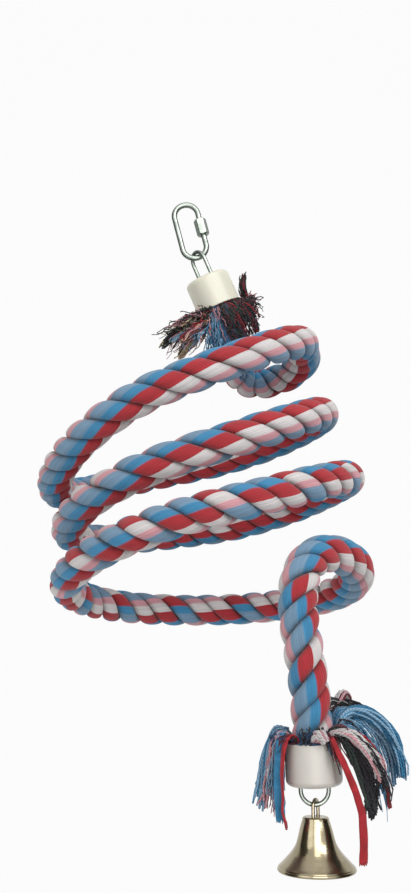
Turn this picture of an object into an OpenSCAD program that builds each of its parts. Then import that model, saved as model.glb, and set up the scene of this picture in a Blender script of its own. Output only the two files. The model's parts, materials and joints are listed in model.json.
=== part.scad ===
// Hanging spiral rope perch for a cage bird, with a quick link at the top and a bell at the bottom.
// The origin is the inside top of the quick link, where the perch hangs. +Z is up, -Y is the front.

/* [Rope] */
// Outside diameter of the three-strand cotton rope
rope_d = 21; // [18:0.5:22]
// Mean radius of the spiral, from its middle to the middle of the rope
coil_r = 78; // [72:1:100]
// Height of the rope, from the mouth of the top ferrule to the mouth of the bottom one
rope_drop = 260; // [250:5:320]
// Diameter of the steel wire core that holds the rope's shape
core_d = 4; // [2:0.5:5]

/* [Ferrules] */
// Thickness of the yarn ends packed between the rope and the ferrules' walls
yarn_pack = 2.15; // [1.8:0.05:3]
// Length of both ferrules
ferrule_h = 21; // [20:0.5:26]
// Wall thickness of the ferrules
ferrule_wall = 1.6; // [1.2:0.1:2]
// Sideways lean of the top ferrule and its eye, in degrees
top_lean = 24; // [15:1:30]
// Backward lean of the top ferrule and its eye, in degrees
top_tip = 10; // [5:1:15]

/* [Quick link] */
// Outside length of the quick link
link_l = 41; // [38:0.5:50]
// Outside width of the quick link, without its nut
link_w = 19; // [17:0.5:23]
// Diameter of the quick link's wire
link_wire = 3.6; // [3:0.1:4]
// Lean of the quick link to the side, in degrees
link_lean = 14; // [0:1:20]
// Length of the hexagonal nut that closes the link
nut_l = 11; // [9:0.5:13]
// Size of the nut across its flats
nut_af = 7; // [6.6:0.1:8]
// How far the nut runs down its thread to open the link
nut_travel = 6; // [5:0.5:8]

/* [Wire eyes] */
// Diameter of the wire of the top eye
top_eye_wire = 2.5; // [2:0.1:3]
// Width of the top eye between the middles of its legs
top_eye_w = 14; // [12:0.5:16]
// How far the top eye stands out of its ferrule
top_eye_out = 18.5; // [16:0.5:20]
// Turn of the top eye about its own axis, in degrees
top_eye_turn = 62; // [60:1:90]
// Diameter of the wire of the bottom eye
low_eye_wire = 2.2; // [1.8:0.1:2.6]
// Width of the bottom eye between the middles of its legs
low_eye_w = 14; // [12:0.5:16]
// How far the bottom eye stands out of its ferrule
low_eye_out = 10.5; // [9.5:0.5:13]

/* [Bell] */
// Diameter of the bell's rim
bell_d = 39; // [36:0.5:44]
// Height of the bell's shell
bell_h = 25.5; // [24:0.5:30]
// Thickness of the bell's pressed sheet
bell_wall = 1.1; // [0.8:0.1:1.3]
// Diameter of the bell loop's wire
loop_wire = 1.8; // [1.4:0.1:2]
// Width of the bell loop between the middles of its legs
loop_w = 7; // [6.5:0.5:8]
// Distance from the bottom eye's bar down to the top of the bell
bell_below = 5.5; // [5:0.5:8]
// Diameter of the clapper ball
clapper_d = 8; // [6:0.5:9]

/* [Tassels] */
// Length of the yarn that hangs from the bottom ferrule's mouth
tassel_l = 50; // [45:1:55]
// Length of the frayed yarn under the top ferrule
skirt_l = 42; // [38:1:46]
// Width of the flat cloth strips among the yarns
strip_w = 5; // [4:0.5:5.5]
// Thickness of the flat cloth strips
strip_t = 1.4; // [1:0.1:1.6]

/* [Hidden] */
$fn = 48;

// Colours
steel = "#B4B8B6";
nickel = "#B9AE90";
plastic = "#E4E2D4";
yarn_blue = "#3F8DB8";
yarn_pale = "#7FA5BD";
yarn_red = "#BF2F38";
yarn_white = "#DEDAD9";
yarn_pink = "#DDA3A8";
yarn_black = "#2A262B";

// Clearances: hanging metal, parts set in another part, and a sliding fit
hang_gap = 0.4;
set_gap = 0.1;
slide_gap = 0.08;
// One overrun serves all the cuts
over = 1;

// Quick link, in its own plane. Its right leg is cut, and the nut bridges the cut.
link_r = (link_w - link_wire) / 2;
link_in = link_l - 2 * link_wire;
link_leg = link_l - link_w;
leg_low = link_r - link_in - link_wire / 2;
nut_grip = 1.5;
nut_low = leg_low + hang_gap + nut_travel;
cut_high = nut_low + nut_l - nut_grip;
cut_low = nut_low + nut_l - nut_travel;
nut_bevel = 0.7;
bar_drop = link_in + link_wire / 2;
top_bar = [bar_drop * sin(link_lean), 0, -bar_drop * cos(link_lean)];

// Top ferrule: its direction runs from the link down to the ferrule's mouth
top_dir = [sin(top_lean) * cos(top_tip), sin(top_tip), -cos(top_lean) * cos(top_tip)];
top_face = top_bar + top_dir * (top_eye_out - top_eye_wire - hang_gap - link_wire / 2);
top_mouth = top_face + top_dir * ferrule_h;

// Ferrules, the anchor plates inside them, and the yarn ends that pack their mouths
ferrule_d = rope_d + 2 * (yarn_pack + ferrule_wall);
bore_r = ferrule_d / 2 - ferrule_wall;
ferrule_round = 3;
lip_round = 0.6;
plate_t = 2.4;
plate_rim = 2.5;
leg_under = 1.4;
leg_in = ferrule_wall + set_gap + plate_t + leg_under;
end_room = 2.2;
rope_in = ferrule_h - leg_in - end_room;
core_in = ferrule_h - ferrule_wall - 2 * set_gap;
rope_r = rope_d / 2;
rope_gap = 0.12;
root_r = (rope_r + bore_r) / 2;
root_t = bore_r - rope_r - 2 * rope_gap;

// Route of the rope, in shares of coil_r sideways and of rope_drop downwards, from the top mouth.
// The first stretch bends from the ferrule to the right-hand end of the first turn.
lead_in_shares = [
    [0.10, 0.05, 0.065], [0.14, 0.19, 0.121], [0.22, 0.43, 0.147],
    [0.41, 0.55, 0.146], [0.61, 0.51, 0.127], [0.72, 0.31, 0.107]
];
// Middle and radius of the turns, at every half turn
middle_x_shares = [-0.29, -0.345, -0.21, -0.205, -0.085, -0.105, -0.09];
middle_y_shares = [0.02, 0.11, 0.08, 0.14, 0.07, 0.05, -0.02];
radius_shares = [0.97, 0.96, 1.03, 0.985, 1.09, 1.07, 1.13];
// Fall at every quarter turn, right, front, left and back, from a quarter turn before the start
fall_shares = [
    0.24, 0.105, 0.266, 0.448, 0.342, 0.272, 0.42, 0.552, 0.509, 0.43, 0.548, 0.684, 0.72, 0.667, 0.51
];
turns = 3;
turn_steps = 24;
// The last stretch curls forward over the top of the loop and drops to the bottom ferrule
lead_out_shares = [
    [1.01, -0.29, 0.648], [0.91, -0.51, 0.632], [0.76, -0.71, 0.627], [0.61, -0.87, 0.645],
    [0.52, -0.98, 0.69], [0.505, -1.02, 0.76], [0.54, -1.03, 0.84], [0.571, -1.02, 0.92]
];
end_share = [0.579, -1.01, 1];
core_sides = 8;
rope_sides = 2 * core_sides;
core_gap = 0.15;

function unit(v) = v / norm(v);
function place(s) = top_mouth + [s.x * coil_r, s.y * coil_r, -s.z * rope_drop];

// A smooth curve through the points k, at t counted in points
function blend(a, b, c, d, s) =
    (2 * b + (c - a) * s + (2 * a - 5 * b + 4 * c - d) * s * s + (3 * b - a - 3 * c + d) * s * s * s) / 2;
function pick(k, i) =
    i < 0 ? 2 * k[0] - k[1] : i < len(k) ? k[i] : 2 * k[len(k) - 1] - k[len(k) - 2];
function along(k, t) =
    let (i = min(max(floor(t), 0), len(k) - 2))
    blend(pick(k, i - 1), k[i], k[i + 1], pick(k, i + 2), t - i);
function smooth(k, n) = [for (j = [0 : (len(k) - 1) * n]) along(k, j / n)];

// The spiral after u turns, counted from its right-hand end
function spiral_point(u) =
    let (r = along(radius_shares, 2 * u))
    place([
        along(middle_x_shares, 2 * u) + r * cos(360 * u),
        along(middle_y_shares, 2 * u) - r * sin(360 * u),
        along(fall_shares, 4 * u + 1)
    ]);
spiral = [for (i = [0 : turns * turn_steps]) spiral_point(i / turn_steps)];
lead_in = [for (s = lead_in_shares) place(s)];
lead_out = [for (s = lead_out_shares) place(s)];
low_mouth = place(end_share);
low_dir = unit(low_mouth - lead_out[len(lead_out) - 1]);
low_tip = asin(low_dir.y);
low_lean = atan2(low_dir.x, -low_dir.z);

// The rope's middle line runs into both ferrules. The leads, which bend most, have half steps too.
route = concat(
    [top_mouth - top_dir * rope_in, top_mouth], lead_in, spiral, lead_out,
    [low_mouth, low_mouth + low_dir * rope_in]
);
in_last = len(lead_in) + 1;
out_first = len(route) - len(lead_out) - 3;
rope_path = concat(
    [route[0]],
    [for (j = [2 : 2 * in_last - 1]) along(route, j / 2)],
    [for (j = [in_last : out_first]) route[j]],
    [for (j = [2 * out_first + 1 : 2 * (len(route) - 2)]) along(route, j / 2)],
    [route[len(route) - 1]]
);
path_last = len(rope_path) - 1;
core_path = [
    for (i = [0 : path_last])
        i == 0 ? top_mouth - top_dir * core_in : i == path_last ? low_mouth + low_dir * core_in : rope_path[i]
];

// Two directions across a path at each of its points, carried along it without twist
function heading(p, i) = unit(p[min(i + 1, len(p) - 1)] - p[max(i - 1, 0)]);
function square_to(v, t) = unit(v - (v * t) * t);
function across(p, first) = [
    for (
        i = 0, n = square_to(first, heading(p, 0));
        i < len(p);
        i = i + 1, n = square_to(n, heading(p, min(i, len(p) - 1)))
    ) [n, cross(heading(p, i), n)]
];
path_across = across(rope_path, [0, 1, 0]);
function ring(c, f, a, b, sides) =
    [for (k = [0 : sides - 1]) c + a * cos(360 * k / sides) * f[0] + b * sin(360 * k / sides) * f[1]];

// Triangles of a wall between rings of as many sides, and of a cap, numbered from the vertex first
function wall_faces(rings, sides, first) = [
    for (i = [0 : rings - 2], k = [0 : sides - 1])
        let (a = first + i * sides + k, b = first + i * sides + (k + 1) % sides)
        each [[a, b, a + sides], [b, b + sides, a + sides]]
];
function cap_faces(sides, first) = [for (k = [1 : sides - 2]) [first, first + k, first + k + 1]];
function turned(faces) = [for (f = faces) [f[0], f[2], f[1]]];

// Cap between a ring of 2 * sides vertices and one of as many as sides, around a bore
function bored_cap_faces(sides, outer, inner) = [
    for (k = [0 : sides - 1])
        let (
            o = outer + 2 * k, o2 = outer + (2 * k + 2) % (2 * sides), i = inner + k,
            i2 = inner + (k + 1) % sides
        )
        each [[i, o + 1, o], [i, i2, o + 1], [i2, o2, o + 1]]
];

// The rope never touches itself: its least gap and its length are measured on its path
function run_length(p, i) = i > len(p) - 2 ? 0 : norm(p[i + 1] - p[i]) + run_length(p, i + 1);
apart_steps = 5;
least_gap = min([
    for (i = [0 : path_last - apart_steps], j = [i + apart_steps : path_last])
        norm(rope_path[i] - rope_path[j])
]) - rope_d;
echo(least_gap_of_the_rope_to_itself = least_gap, rope_length = run_length(rope_path, 0));

// Bottom eye's bar and the bell that hangs plumb on it
low_bar = low_mouth + low_dir * (ferrule_h + low_eye_out - low_eye_wire / 2);
loop_turn = 64;
loop_top = (low_eye_wire + loop_wire) / 2 + hang_gap;
washer_t = 1;
loop_low = bell_below + bell_wall + washer_t + 2 * set_gap;
washer_rim = 0.9;
washer_r = (loop_w + loop_wire) / 2 + set_gap + washer_rim;

// The shell goes from its rounded crown to the bead of its rim. The flare's points are shares of the
// way from the crown's radius to the rim's, and of the height.
crown_r = washer_r + bell_wall + 2 * set_gap;
crown_round = 1.2;
flare_shares = [
    [0, 0.06], [0.1, 0.215], [0.2, 0.41], [0.29, 0.53], [0.445, 0.645], [0.656, 0.76], [0.855, 0.86],
    [0.965, 0.91]
];
flare_steps = 3;
rim_bead = 1;
hook_wire = 1.2;
hook_r = (loop_wire + hook_wire) / 2 + hang_gap;
ball_up = 0.6;
loop_bar = loop_low + loop_w / 2;
ball_drop = bell_below + bell_h - ball_up - clapper_d / 2;

// Prints the places that the joints turn about
echo(
    top_bar = top_bar, bar_axis = [cos(link_lean), 0, sin(link_lean)],
    low_bar = low_bar, low_axis = [cos(low_lean), 0, sin(low_lean)],
    clapper_bar = low_bar - [0, 0, loop_bar], clapper_axis = [cos(loop_turn), sin(loop_turn), 0],
    nut_axis = [sin(link_lean), 0, -cos(link_lean)], low_mouth = low_mouth
);

// Tassel routes: each starts in a ferrule's mouth at an angle round it, and its points are shares of
// its length: out from the mouth's middle line, sideways, and along that line away from the ferrule.
yarn_sides = 8;
yarn_steps = 3;

// Frames: the link's own, and one at each ferrule's mouth with +Z along the rope out of the ferrule
module on_link() rotate([0, -link_lean, 0]) children();
module on_top() translate(top_mouth) rotate([0, -top_lean, 0]) rotate([180 + top_tip, 0, 0]) children();
module on_low() translate(low_mouth) rotate([0, -low_lean, 0]) rotate([low_tip, 0, 0]) children();
module on_bell() translate(low_bar) rotate([0, 0, loop_turn]) children();

module wire_bend(r, wire) rotate([90, 0, 0]) rotate_extrude(angle = 180) translate([r, 0]) circle(d = wire);

module quick_link() color(steel) on_link() {
    translate([0, 0, leg_low + link_leg]) wire_bend(link_r, link_wire);
    translate([0, 0, leg_low]) rotate([180, 0, 0]) wire_bend(link_r, link_wire);
    translate([-link_r, 0, leg_low]) cylinder(d = link_wire, h = link_leg);
    translate([link_r, 0, leg_low]) cylinder(d = link_wire, h = cut_low - leg_low);
    translate([link_r, 0, cut_high]) cylinder(d = link_wire, h = leg_low + link_leg - cut_high);
}

module quick_link_nut() color(steel) on_link() translate([link_r, 0, nut_low]) difference() {
    corner_r = nut_af / 2 / cos(30);
    intersection() {
        cylinder(r = corner_r, h = nut_l, $fn = 6);
        rotate_extrude() polygon([
            [0, 0], [corner_r - nut_bevel, 0], [corner_r, nut_bevel], [corner_r, nut_l - nut_bevel],
            [corner_r - nut_bevel, nut_l], [0, nut_l]
        ]);
    }
    translate([0, 0, -over]) cylinder(d = link_wire + 2 * slide_gap, h = nut_l + 2 * over);
}

// A U of wire whose legs go through a ferrule's end wall and its anchor plate
module wire_eye(wire, w, out) translate([0, 0, -ferrule_h]) rotate([180, 0, 0]) {
    bend_z = out - (wire + w) / 2;
    translate([0, 0, bend_z]) wire_bend(w / 2, wire);
    for (side = [-1, 1])
        translate([side * w / 2, 0, -leg_in]) cylinder(d = wire, h = leg_in + bend_z);
}

// Holes for the two legs of an eye, cut from the end of a ferrule as far as its plate
module leg_holes(wire, w) for (side = [-1, 1])
    translate([side * w / 2, 0, -ferrule_h - over]) cylinder(d = wire + 2 * set_gap, h = leg_in + over);

module ferrule(wire, w, turn) difference() {
    r = ferrule_d / 2;
    translate([0, 0, -ferrule_h]) rotate_extrude() {
        square([r - ferrule_round, ferrule_h]);
        translate([0, ferrule_round]) square([r, ferrule_h - ferrule_round - lip_round]);
        translate([0, ferrule_round]) square([r - lip_round, ferrule_h - ferrule_round]);
        translate([r - ferrule_round, ferrule_round]) circle(r = ferrule_round);
        translate([r - lip_round, ferrule_h - lip_round]) circle(r = lip_round);
    }
    translate([0, 0, ferrule_wall - ferrule_h]) cylinder(r = bore_r, h = ferrule_h);
    rotate([0, 0, turn]) leg_holes(wire, w);
}

module anchor_plate(wire, w, turn) color(steel) difference() {
    translate([0, 0, ferrule_wall + set_gap - ferrule_h]) cylinder(r = bore_r - plate_rim, h = plate_t);
    rotate([0, 0, turn]) leg_holes(wire, w);
    translate([0, 0, -ferrule_h]) cylinder(d = core_d + 2 * set_gap, h = ferrule_h);
}

module yarn_roots() difference() {
    translate([0, 0, -rope_in]) cylinder(r = bore_r - set_gap, h = rope_in);
    translate([0, 0, -rope_in - over]) cylinder(r = rope_r + rope_gap, h = rope_in + 2 * over);
}

module rope() color(yarn_blue) {
    rings = len(rope_path);
    bore = core_d / 2 + core_gap;
    inner = rings * rope_sides;
    last_outer = inner - rope_sides;
    last_inner = inner + (rings - 1) * core_sides;
    polyhedron(
        concat(
            [for (i = [0 : path_last]) each ring(rope_path[i], path_across[i], rope_r, rope_r, rope_sides)],
            [for (i = [0 : path_last]) each ring(rope_path[i], path_across[i], bore, bore, core_sides)]
        ),
        concat(
            turned(wall_faces(rings, rope_sides, 0)), wall_faces(rings, core_sides, inner),
            turned(bored_cap_faces(core_sides, 0, inner)),
            bored_cap_faces(core_sides, last_outer, last_inner)
        )
    );
}

module core_wire() color(steel) {
    rings = len(core_path);
    r = core_d / 2;
    polyhedron(
        [for (i = [0 : path_last]) each ring(core_path[i], path_across[i], r, r, core_sides)],
        concat(
            turned(wall_faces(rings, core_sides, 0)), cap_faces(core_sides, 0),
            turned(cap_faces(core_sides, (rings - 1) * core_sides))
        )
    );
}

// A bunch of yarn, or a flat strip, as one closed tapered solid. The widths are at its root, its belly
// and its tip, across and through, and it turns about its own line by the angle turn.
module bunch(tint, angle, length, shares, wide, thick, turn = 0) color(tint) rotate([0, 0, angle]) {
    root = [root_r, 0, set_gap];
    path = smooth(concat([root], [for (s = shares) [root_r, 0, 0] + s * length]), yarn_steps);
    last = len(path) - 1;
    polyhedron(
        [
            for (i = [0 : last])
                let (
                    u = i / last, t = i == 0 ? [0, 0, 1] : heading(path, i), side = square_to([0, 1, 0], t),
                    face = cross(side, t), a = turn * u,
                    f = [cos(a) * side + sin(a) * face, cos(a) * face - sin(a) * side]
                )
                each ring(path[i], f, along(wide, 2 * u) / 2, along(thick, 2 * u) / 2, yarn_sides)
        ],
        concat(
            wall_faces(last + 1, yarn_sides, 0), turned(cap_faces(yarn_sides, 0)),
            cap_faces(yarn_sides, last * yarn_sides)
        )
    );
}

module bell_shell() color(nickel) on_bell() translate([0, 0, -bell_below]) difference() {
    rim_r = bell_d / 2;
    bead = [rim_r - rim_bead, rim_bead - bell_h];
    crown = [for (a = [90 : -30 : 30]) [crown_r - crown_round, -crown_round] + crown_round * [cos(a), sin(a)]];
    flare = [
        for (s = smooth(flare_shares, flare_steps)) [crown_r + s.x * (rim_r - crown_r), -s.y * bell_h]
    ];
    lip = [for (a = [60 : -30 : -240]) bead + rim_bead * [cos(a), sin(a)]];
    outline = concat(crown, flare);
    inside = [for (p = outline) [p.x - bell_wall, min(p.y, -bell_wall)]];
    rotate_extrude() polygon(concat(
        [[0, 0]], outline, lip, [for (i = [len(inside) - 1 : -1 : 0]) inside[i]], [[0, -bell_wall]]
    ));
    for (side = [-1, 1]) translate([side * loop_w / 2, 0, -bell_wall - over])
        cylinder(d = loop_wire + 2 * set_gap, h = bell_wall + 2 * over);
}

module bell_washer() color(steel) on_bell()
    translate([0, 0, -bell_below - bell_wall - set_gap - washer_t]) difference() {
        cylinder(r = washer_r, h = washer_t);
        for (side = [-1, 1]) translate([side * loop_w / 2, 0, -over])
            cylinder(d = loop_wire + 2 * set_gap, h = washer_t + 2 * over);
    }

module bell_loop() color(nickel) on_bell() translate([0, 0, loop_top - loop_w / 2]) {
    leg = loop_low + loop_top - loop_w / 2;
    wire_bend(loop_w / 2, loop_wire);
    translate([0, 0, -leg]) rotate([180, 0, 0]) wire_bend(loop_w / 2, loop_wire);
    for (side = [-1, 1]) translate([side * loop_w / 2, 0, -leg]) cylinder(d = loop_wire, h = leg);
}

module clapper_wire() color(steel) on_bell() translate([0, 0, -loop_bar]) {
    rotate([0, 90, 0]) rotate_extrude() translate([hook_r, 0]) circle(d = hook_wire);
    translate([0, 0, loop_bar - ball_drop]) cylinder(d = hook_wire, h = ball_drop - loop_bar - hook_r);
}

module clapper_ball() color(steel) on_bell() translate([0, 0, -ball_drop]) difference() {
    sphere(d = clapper_d);
    cylinder(d = hook_wire + 2 * set_gap, h = clapper_d);
}

module top_eye() color(steel) on_top() rotate([0, 0, top_eye_turn])
    wire_eye(top_eye_wire, top_eye_w, top_eye_out);
module top_ferrule() color(plastic) on_top() ferrule(top_eye_wire, top_eye_w, top_eye_turn);
module top_anchor_plate() on_top() anchor_plate(top_eye_wire, top_eye_w, top_eye_turn);
module top_yarn_roots() color(yarn_red) on_top() yarn_roots();

module bottom_eye() color(steel) on_low() wire_eye(low_eye_wire, low_eye_w, low_eye_out);
module bottom_ferrule() color(plastic) on_low() ferrule(low_eye_wire, low_eye_w, 0);
module bottom_anchor_plate() on_low() anchor_plate(low_eye_wire, low_eye_w, 0);
module bottom_yarn_roots() color(yarn_blue) on_low() yarn_roots();

// Widths and thicknesses of the bunches at root, belly and tip, as shares of the room in the mouth
// for the thickness and of the flat strips' width for the rest
thin = [root_t, 2.2 * root_t, 1.6 * root_t];
thick = [root_t, 3.4 * root_t, 2 * root_t];
slim = [0.8 * strip_w, 1.3 * strip_w, strip_w];
full = [0.8 * strip_w, 2 * strip_w, 1.5 * strip_w];
fan = [0.8 * strip_w, 1.5 * strip_w, 2.3 * strip_w];
flat = [0.8 * strip_w, strip_w, strip_w];
flat_t = [strip_t, strip_t, strip_t];

// Turns of a bunch about its own line, in degrees: almost side on to the front, half so, and a little
side_on = 80;
half_on = 50;
slightly_on = 20;

// Frayed skirt under the top ferrule, round the start of the rope
module skirt_red_right() on_top() bunch(
    yarn_red, 48, skirt_l,
    [[0.08, 0, 0.1], [0.18, 0, 0.22], [0.22, 0, 0.42], [0.2, 0, 0.62]],
    slim, thin
);
module skirt_blue_front() on_top() bunch(
    yarn_blue, 80, skirt_l,
    [[0.09, 0, 0.14], [0.17, 0, 0.34], [0.2, 0, 0.58], [0.16, 0, 0.82]],
    slim, thin
);
module skirt_blue_low() on_top() bunch(
    yarn_blue, 112, skirt_l,
    [[0.07, 0, 0.2], [0.12, 0, 0.48], [0.16, 0, 0.76], [0.18, 0, 1.04]],
    slim, thin
);
module skirt_red_left() on_top() bunch(
    yarn_red, 144, skirt_l,
    [[0.1, 0, 0.12], [0.28, 0, 0.2], [0.5, 0, 0.25], [0.7, 0, 0.33]],
    slim, thick
);
module skirt_black_left() on_top() bunch(
    yarn_black, 176, skirt_l,
    [[0.1, 0, 0.1], [0.28, 0, 0.14], [0.54, 0, 0.14], [0.8, 0, 0.22]],
    slim, thick
);
module skirt_pink_left() on_top() bunch(
    yarn_pink, 208, skirt_l,
    [[0.1, 0, 0.14], [0.28, 0, 0.24], [0.5, 0, 0.34], [0.68, 0, 0.42]],
    slim, thick
);
module skirt_black_back() on_top() bunch(
    yarn_black, 296, skirt_l,
    [[0.08, 0, 0.12], [0.2, 0, 0.2], [0.32, 0, 0.34]],
    slim, thin
);
module skirt_black_right() on_top() bunch(
    yarn_black, 345, skirt_l,
    [[0.11, 0, 0.08], [0.2, 0, -0.02], [0.24, 0, -0.2], [0.34, 0, -0.34]],
    slim, thin
);

// Long tassels and flat strips that come out of the bottom ferrule's mouth and fall around it
module tassel_pale_left() on_low() bunch(
    yarn_pale, 152, tassel_l,
    [[0.06, 0, 0.08], [0.15, 0.01, 0.13], [0.25, 0.01, 0.01], [0.32, 0.01, -0.2], [0.37, 0, -0.42],
        [0.39, 0, -0.66]],
    fan, thick, side_on
);
module tassel_pink_left() on_low() bunch(
    yarn_pink, 176, tassel_l,
    [[0.05, 0, 0.07], [0.11, 0, 0.09], [0.18, 0, -0.02], [0.22, 0, -0.22], [0.25, 0, -0.42], [0.26, 0, -0.62]],
    slim, thin, side_on
);
module strip_blue_left() on_low() bunch(
    yarn_blue, 200, tassel_l,
    [[0.045, 0, 0.07], [0.09, 0, 0.07], [0.13, 0, -0.04], [0.15, 0, -0.22], [0.16, 0, -0.46], [0.15, 0, -0.72]],
    flat, flat_t, side_on
);
module strip_red_left() on_low() bunch(
    yarn_red, 224, tassel_l,
    [[0.04, -0.01, 0.06], [0.08, -0.04, 0.07], [0.12, -0.07, -0.02], [0.13, -0.1, -0.24], [0.13, -0.1, -0.48],
        [0.12, -0.09, -0.76]],
    flat, flat_t, half_on
);
module tassel_blue_right() on_low() bunch(
    yarn_blue, 28, tassel_l,
    [[0.07, 0.04, 0.14], [0.17, 0.06, 0.25], [0.34, -0.04, 0.22], [0.5, -0.16, 0.04], [0.59, -0.22, -0.2],
        [0.6, -0.25, -0.48]],
    full, thick
);
module strip_red_right() on_low() bunch(
    yarn_red, 4, tassel_l,
    [[0.05, 0.04, 0.08], [0.17, 0.06, 0.1], [0.33, 0.05, -0.02], [0.45, 0.03, -0.28], [0.52, 0.01, -0.66]],
    flat, flat_t, slightly_on
);
module tassel_white_right() on_low() bunch(
    yarn_white, 340, tassel_l,
    [[0.06, 0.04, 0.08], [0.17, 0.1, 0.06], [0.31, 0.16, -0.1], [0.41, 0.2, -0.24], [0.45, 0.22, -0.4]],
    slim, thin
);
module tassel_black_right() on_low() bunch(
    yarn_black, 317, tassel_l,
    [[0.07, 0.03, 0.08], [0.17, 0.08, 0], [0.24, 0.14, -0.22], [0.29, 0.19, -0.46], [0.31, 0.22, -0.7]],
    full, thick
);
module strip_red_front() on_low() bunch(
    yarn_red, 294, tassel_l,
    [[0.05, 0.01, 0.07], [0.12, 0.04, 0.02], [0.18, 0.13, -0.24], [0.2, 0.23, -0.52], [0.19, 0.28, -0.74],
        [0.16, 0.28, -1.12]],
    flat, flat_t
);
module tassel_black_back() on_low() bunch(
    yarn_black, 52, tassel_l,
    [[0.05, 0.03, 0.15], [0.15, 0.05, 0.29], [0.32, 0, 0.33], [0.47, -0.18, 0.23], [0.59, -0.31, 0.06]],
    slim, thick
);
module tassel_white_front() on_low() bunch(
    yarn_white, 270, tassel_l,
    [[0.05, 0, 0.07], [0.1, 0, 0.05], [0.125, 0, -0.02]],
    slim, thin
);

quick_link();
quick_link_nut();
top_eye();
top_anchor_plate();
top_ferrule();
top_yarn_roots();
rope();
core_wire();
bottom_yarn_roots();
bottom_ferrule();
bottom_anchor_plate();
bottom_eye();
bell_shell();
bell_washer();
bell_loop();
clapper_wire();
clapper_ball();
skirt_black_left();
skirt_red_left();
skirt_pink_left();
skirt_blue_front();
skirt_blue_low();
skirt_red_right();
skirt_black_right();
skirt_black_back();
tassel_pale_left();
tassel_pink_left();
strip_blue_left();
strip_red_left();
tassel_blue_right();
strip_red_right();
tassel_white_right();
tassel_black_right();
strip_red_front();
tassel_black_back();
tassel_white_front();
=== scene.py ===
"""Looks for a hanging spiral rope perch: striped cotton rope, frayed yarn, moulded ferrules, link and bell.

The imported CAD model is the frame. The rope, the yarn and the cloth strips are rebuilt here in their
real form, and the metal and plastic parts get their finishes.
"""

import json
import logging
import math
from dataclasses import dataclass
from enum import Enum
from typing import Sequence

import bpy
import numpy as np
from bpy.types import Material, Node, NodeSocket, NodeTree, Object
from mathutils import Matrix

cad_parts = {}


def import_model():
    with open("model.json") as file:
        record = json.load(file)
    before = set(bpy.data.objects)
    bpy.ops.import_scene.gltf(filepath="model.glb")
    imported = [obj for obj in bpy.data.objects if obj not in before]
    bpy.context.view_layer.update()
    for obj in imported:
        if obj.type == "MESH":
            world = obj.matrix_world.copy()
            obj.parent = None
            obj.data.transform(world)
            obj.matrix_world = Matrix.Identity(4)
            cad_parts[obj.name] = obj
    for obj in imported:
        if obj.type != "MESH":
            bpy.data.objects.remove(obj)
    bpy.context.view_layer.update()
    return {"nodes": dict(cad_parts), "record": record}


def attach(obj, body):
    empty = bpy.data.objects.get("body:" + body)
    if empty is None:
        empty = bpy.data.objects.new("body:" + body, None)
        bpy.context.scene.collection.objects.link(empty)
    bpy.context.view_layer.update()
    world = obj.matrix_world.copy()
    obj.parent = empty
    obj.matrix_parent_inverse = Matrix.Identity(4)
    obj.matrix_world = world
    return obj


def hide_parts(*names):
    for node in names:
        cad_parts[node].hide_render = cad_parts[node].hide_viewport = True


LOG = logging.getLogger("perch")
Vec = np.ndarray
MM = 0.001
ROPE_RADIUS = 10.5 * MM
BORE_RADIUS = 12.65 * MM
ROOT_RADIUS = (ROPE_RADIUS + BORE_RADIUS) / 2
GOLDEN_TURN = math.pi * (3 - math.sqrt(5))
PAST_TIP = 1.2


def linear(colour: str) -> tuple[float, float, float, float]:
    """Turns an sRGB hex colour into the linear RGBA that a socket or an attribute takes.

    Args:
        colour: six hex digits after a number sign.

    Returns:
        Linear red, green, blue and an alpha of 1.
    """
    parts = [int(colour[i : i + 2], 16) / 255 for i in (1, 3, 5)]
    red, green, blue = (p / 12.92 if p <= 0.04045 else ((p + 0.055) / 1.055) ** 2.4 for p in parts)
    return red, green, blue, 1.0


def unit(vector: Sequence[float]) -> Vec:
    """A vector of length one along the given one."""
    v = np.asarray(vector, float)
    return v / np.linalg.norm(v)


def feed(node: Node, inputs: dict) -> None:
    """Puts values or links on a node's inputs.

    Args:
        node: the node.
        inputs: input name or number to a value, to the socket that feeds it, or to a node whose first
            output feeds it.
    """
    for name, value in inputs.items():
        source = value.outputs[0] if isinstance(value, Node) else value
        if isinstance(source, NodeSocket):
            node.id_data.links.new(source, node.inputs[name])
        else:
            node.inputs[name].default_value = source


def add(tree: NodeTree, kind: str, inputs: dict | None = None, **settings: object) -> Node:
    """Adds a node with its settings, and values or links on its inputs.

    Args:
        tree: the node tree that gets the node.
        kind: the node's type name, where a shader node's goes without ShaderNode before it.
        inputs: as feed takes them. A MapRange's inputs 0 to 4 are its value, old range and new range.
        settings: properties of the node itself.

    Returns:
        The new node.
    """
    node = tree.nodes.new(kind if "Node" in kind else "ShaderNode" + kind)
    for name, value in settings.items():
        setattr(node, name, value)
    feed(node, inputs or {})
    return node


def mesh_object(name: str, vertices: Vec, faces: Sequence[Sequence[int]]) -> Object:
    """Makes a smooth-shaded mesh object at the origin.

    Args:
        name: the piece's name.
        vertices: places in metres, one row each.
        faces: vertex numbers of each face.

    Returns:
        The linked object.
    """
    mesh = bpy.data.meshes.new(name)
    mesh.from_pydata(np.asarray(vertices).tolist(), [], [list(f) for f in faces])
    mesh.shade_smooth()
    piece = bpy.data.objects.new(name, mesh)
    bpy.context.scene.collection.objects.link(piece)
    return piece


def lay_uv(piece: Object, name: str, places: Vec) -> None:
    """Gives a piece a UV map from a place for each of its vertices.

    Args:
        piece: the mesh object.
        name: the map's name.
        places: U and V of each vertex, one row each.
    """
    layer = piece.data.uv_layers.new(name=name)
    index = np.zeros(len(piece.data.loops), dtype=np.int32)
    piece.data.loops.foreach_get("vertex_index", index)
    layer.data.foreach_set("uv", places[index].astype(np.float32).ravel())


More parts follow.
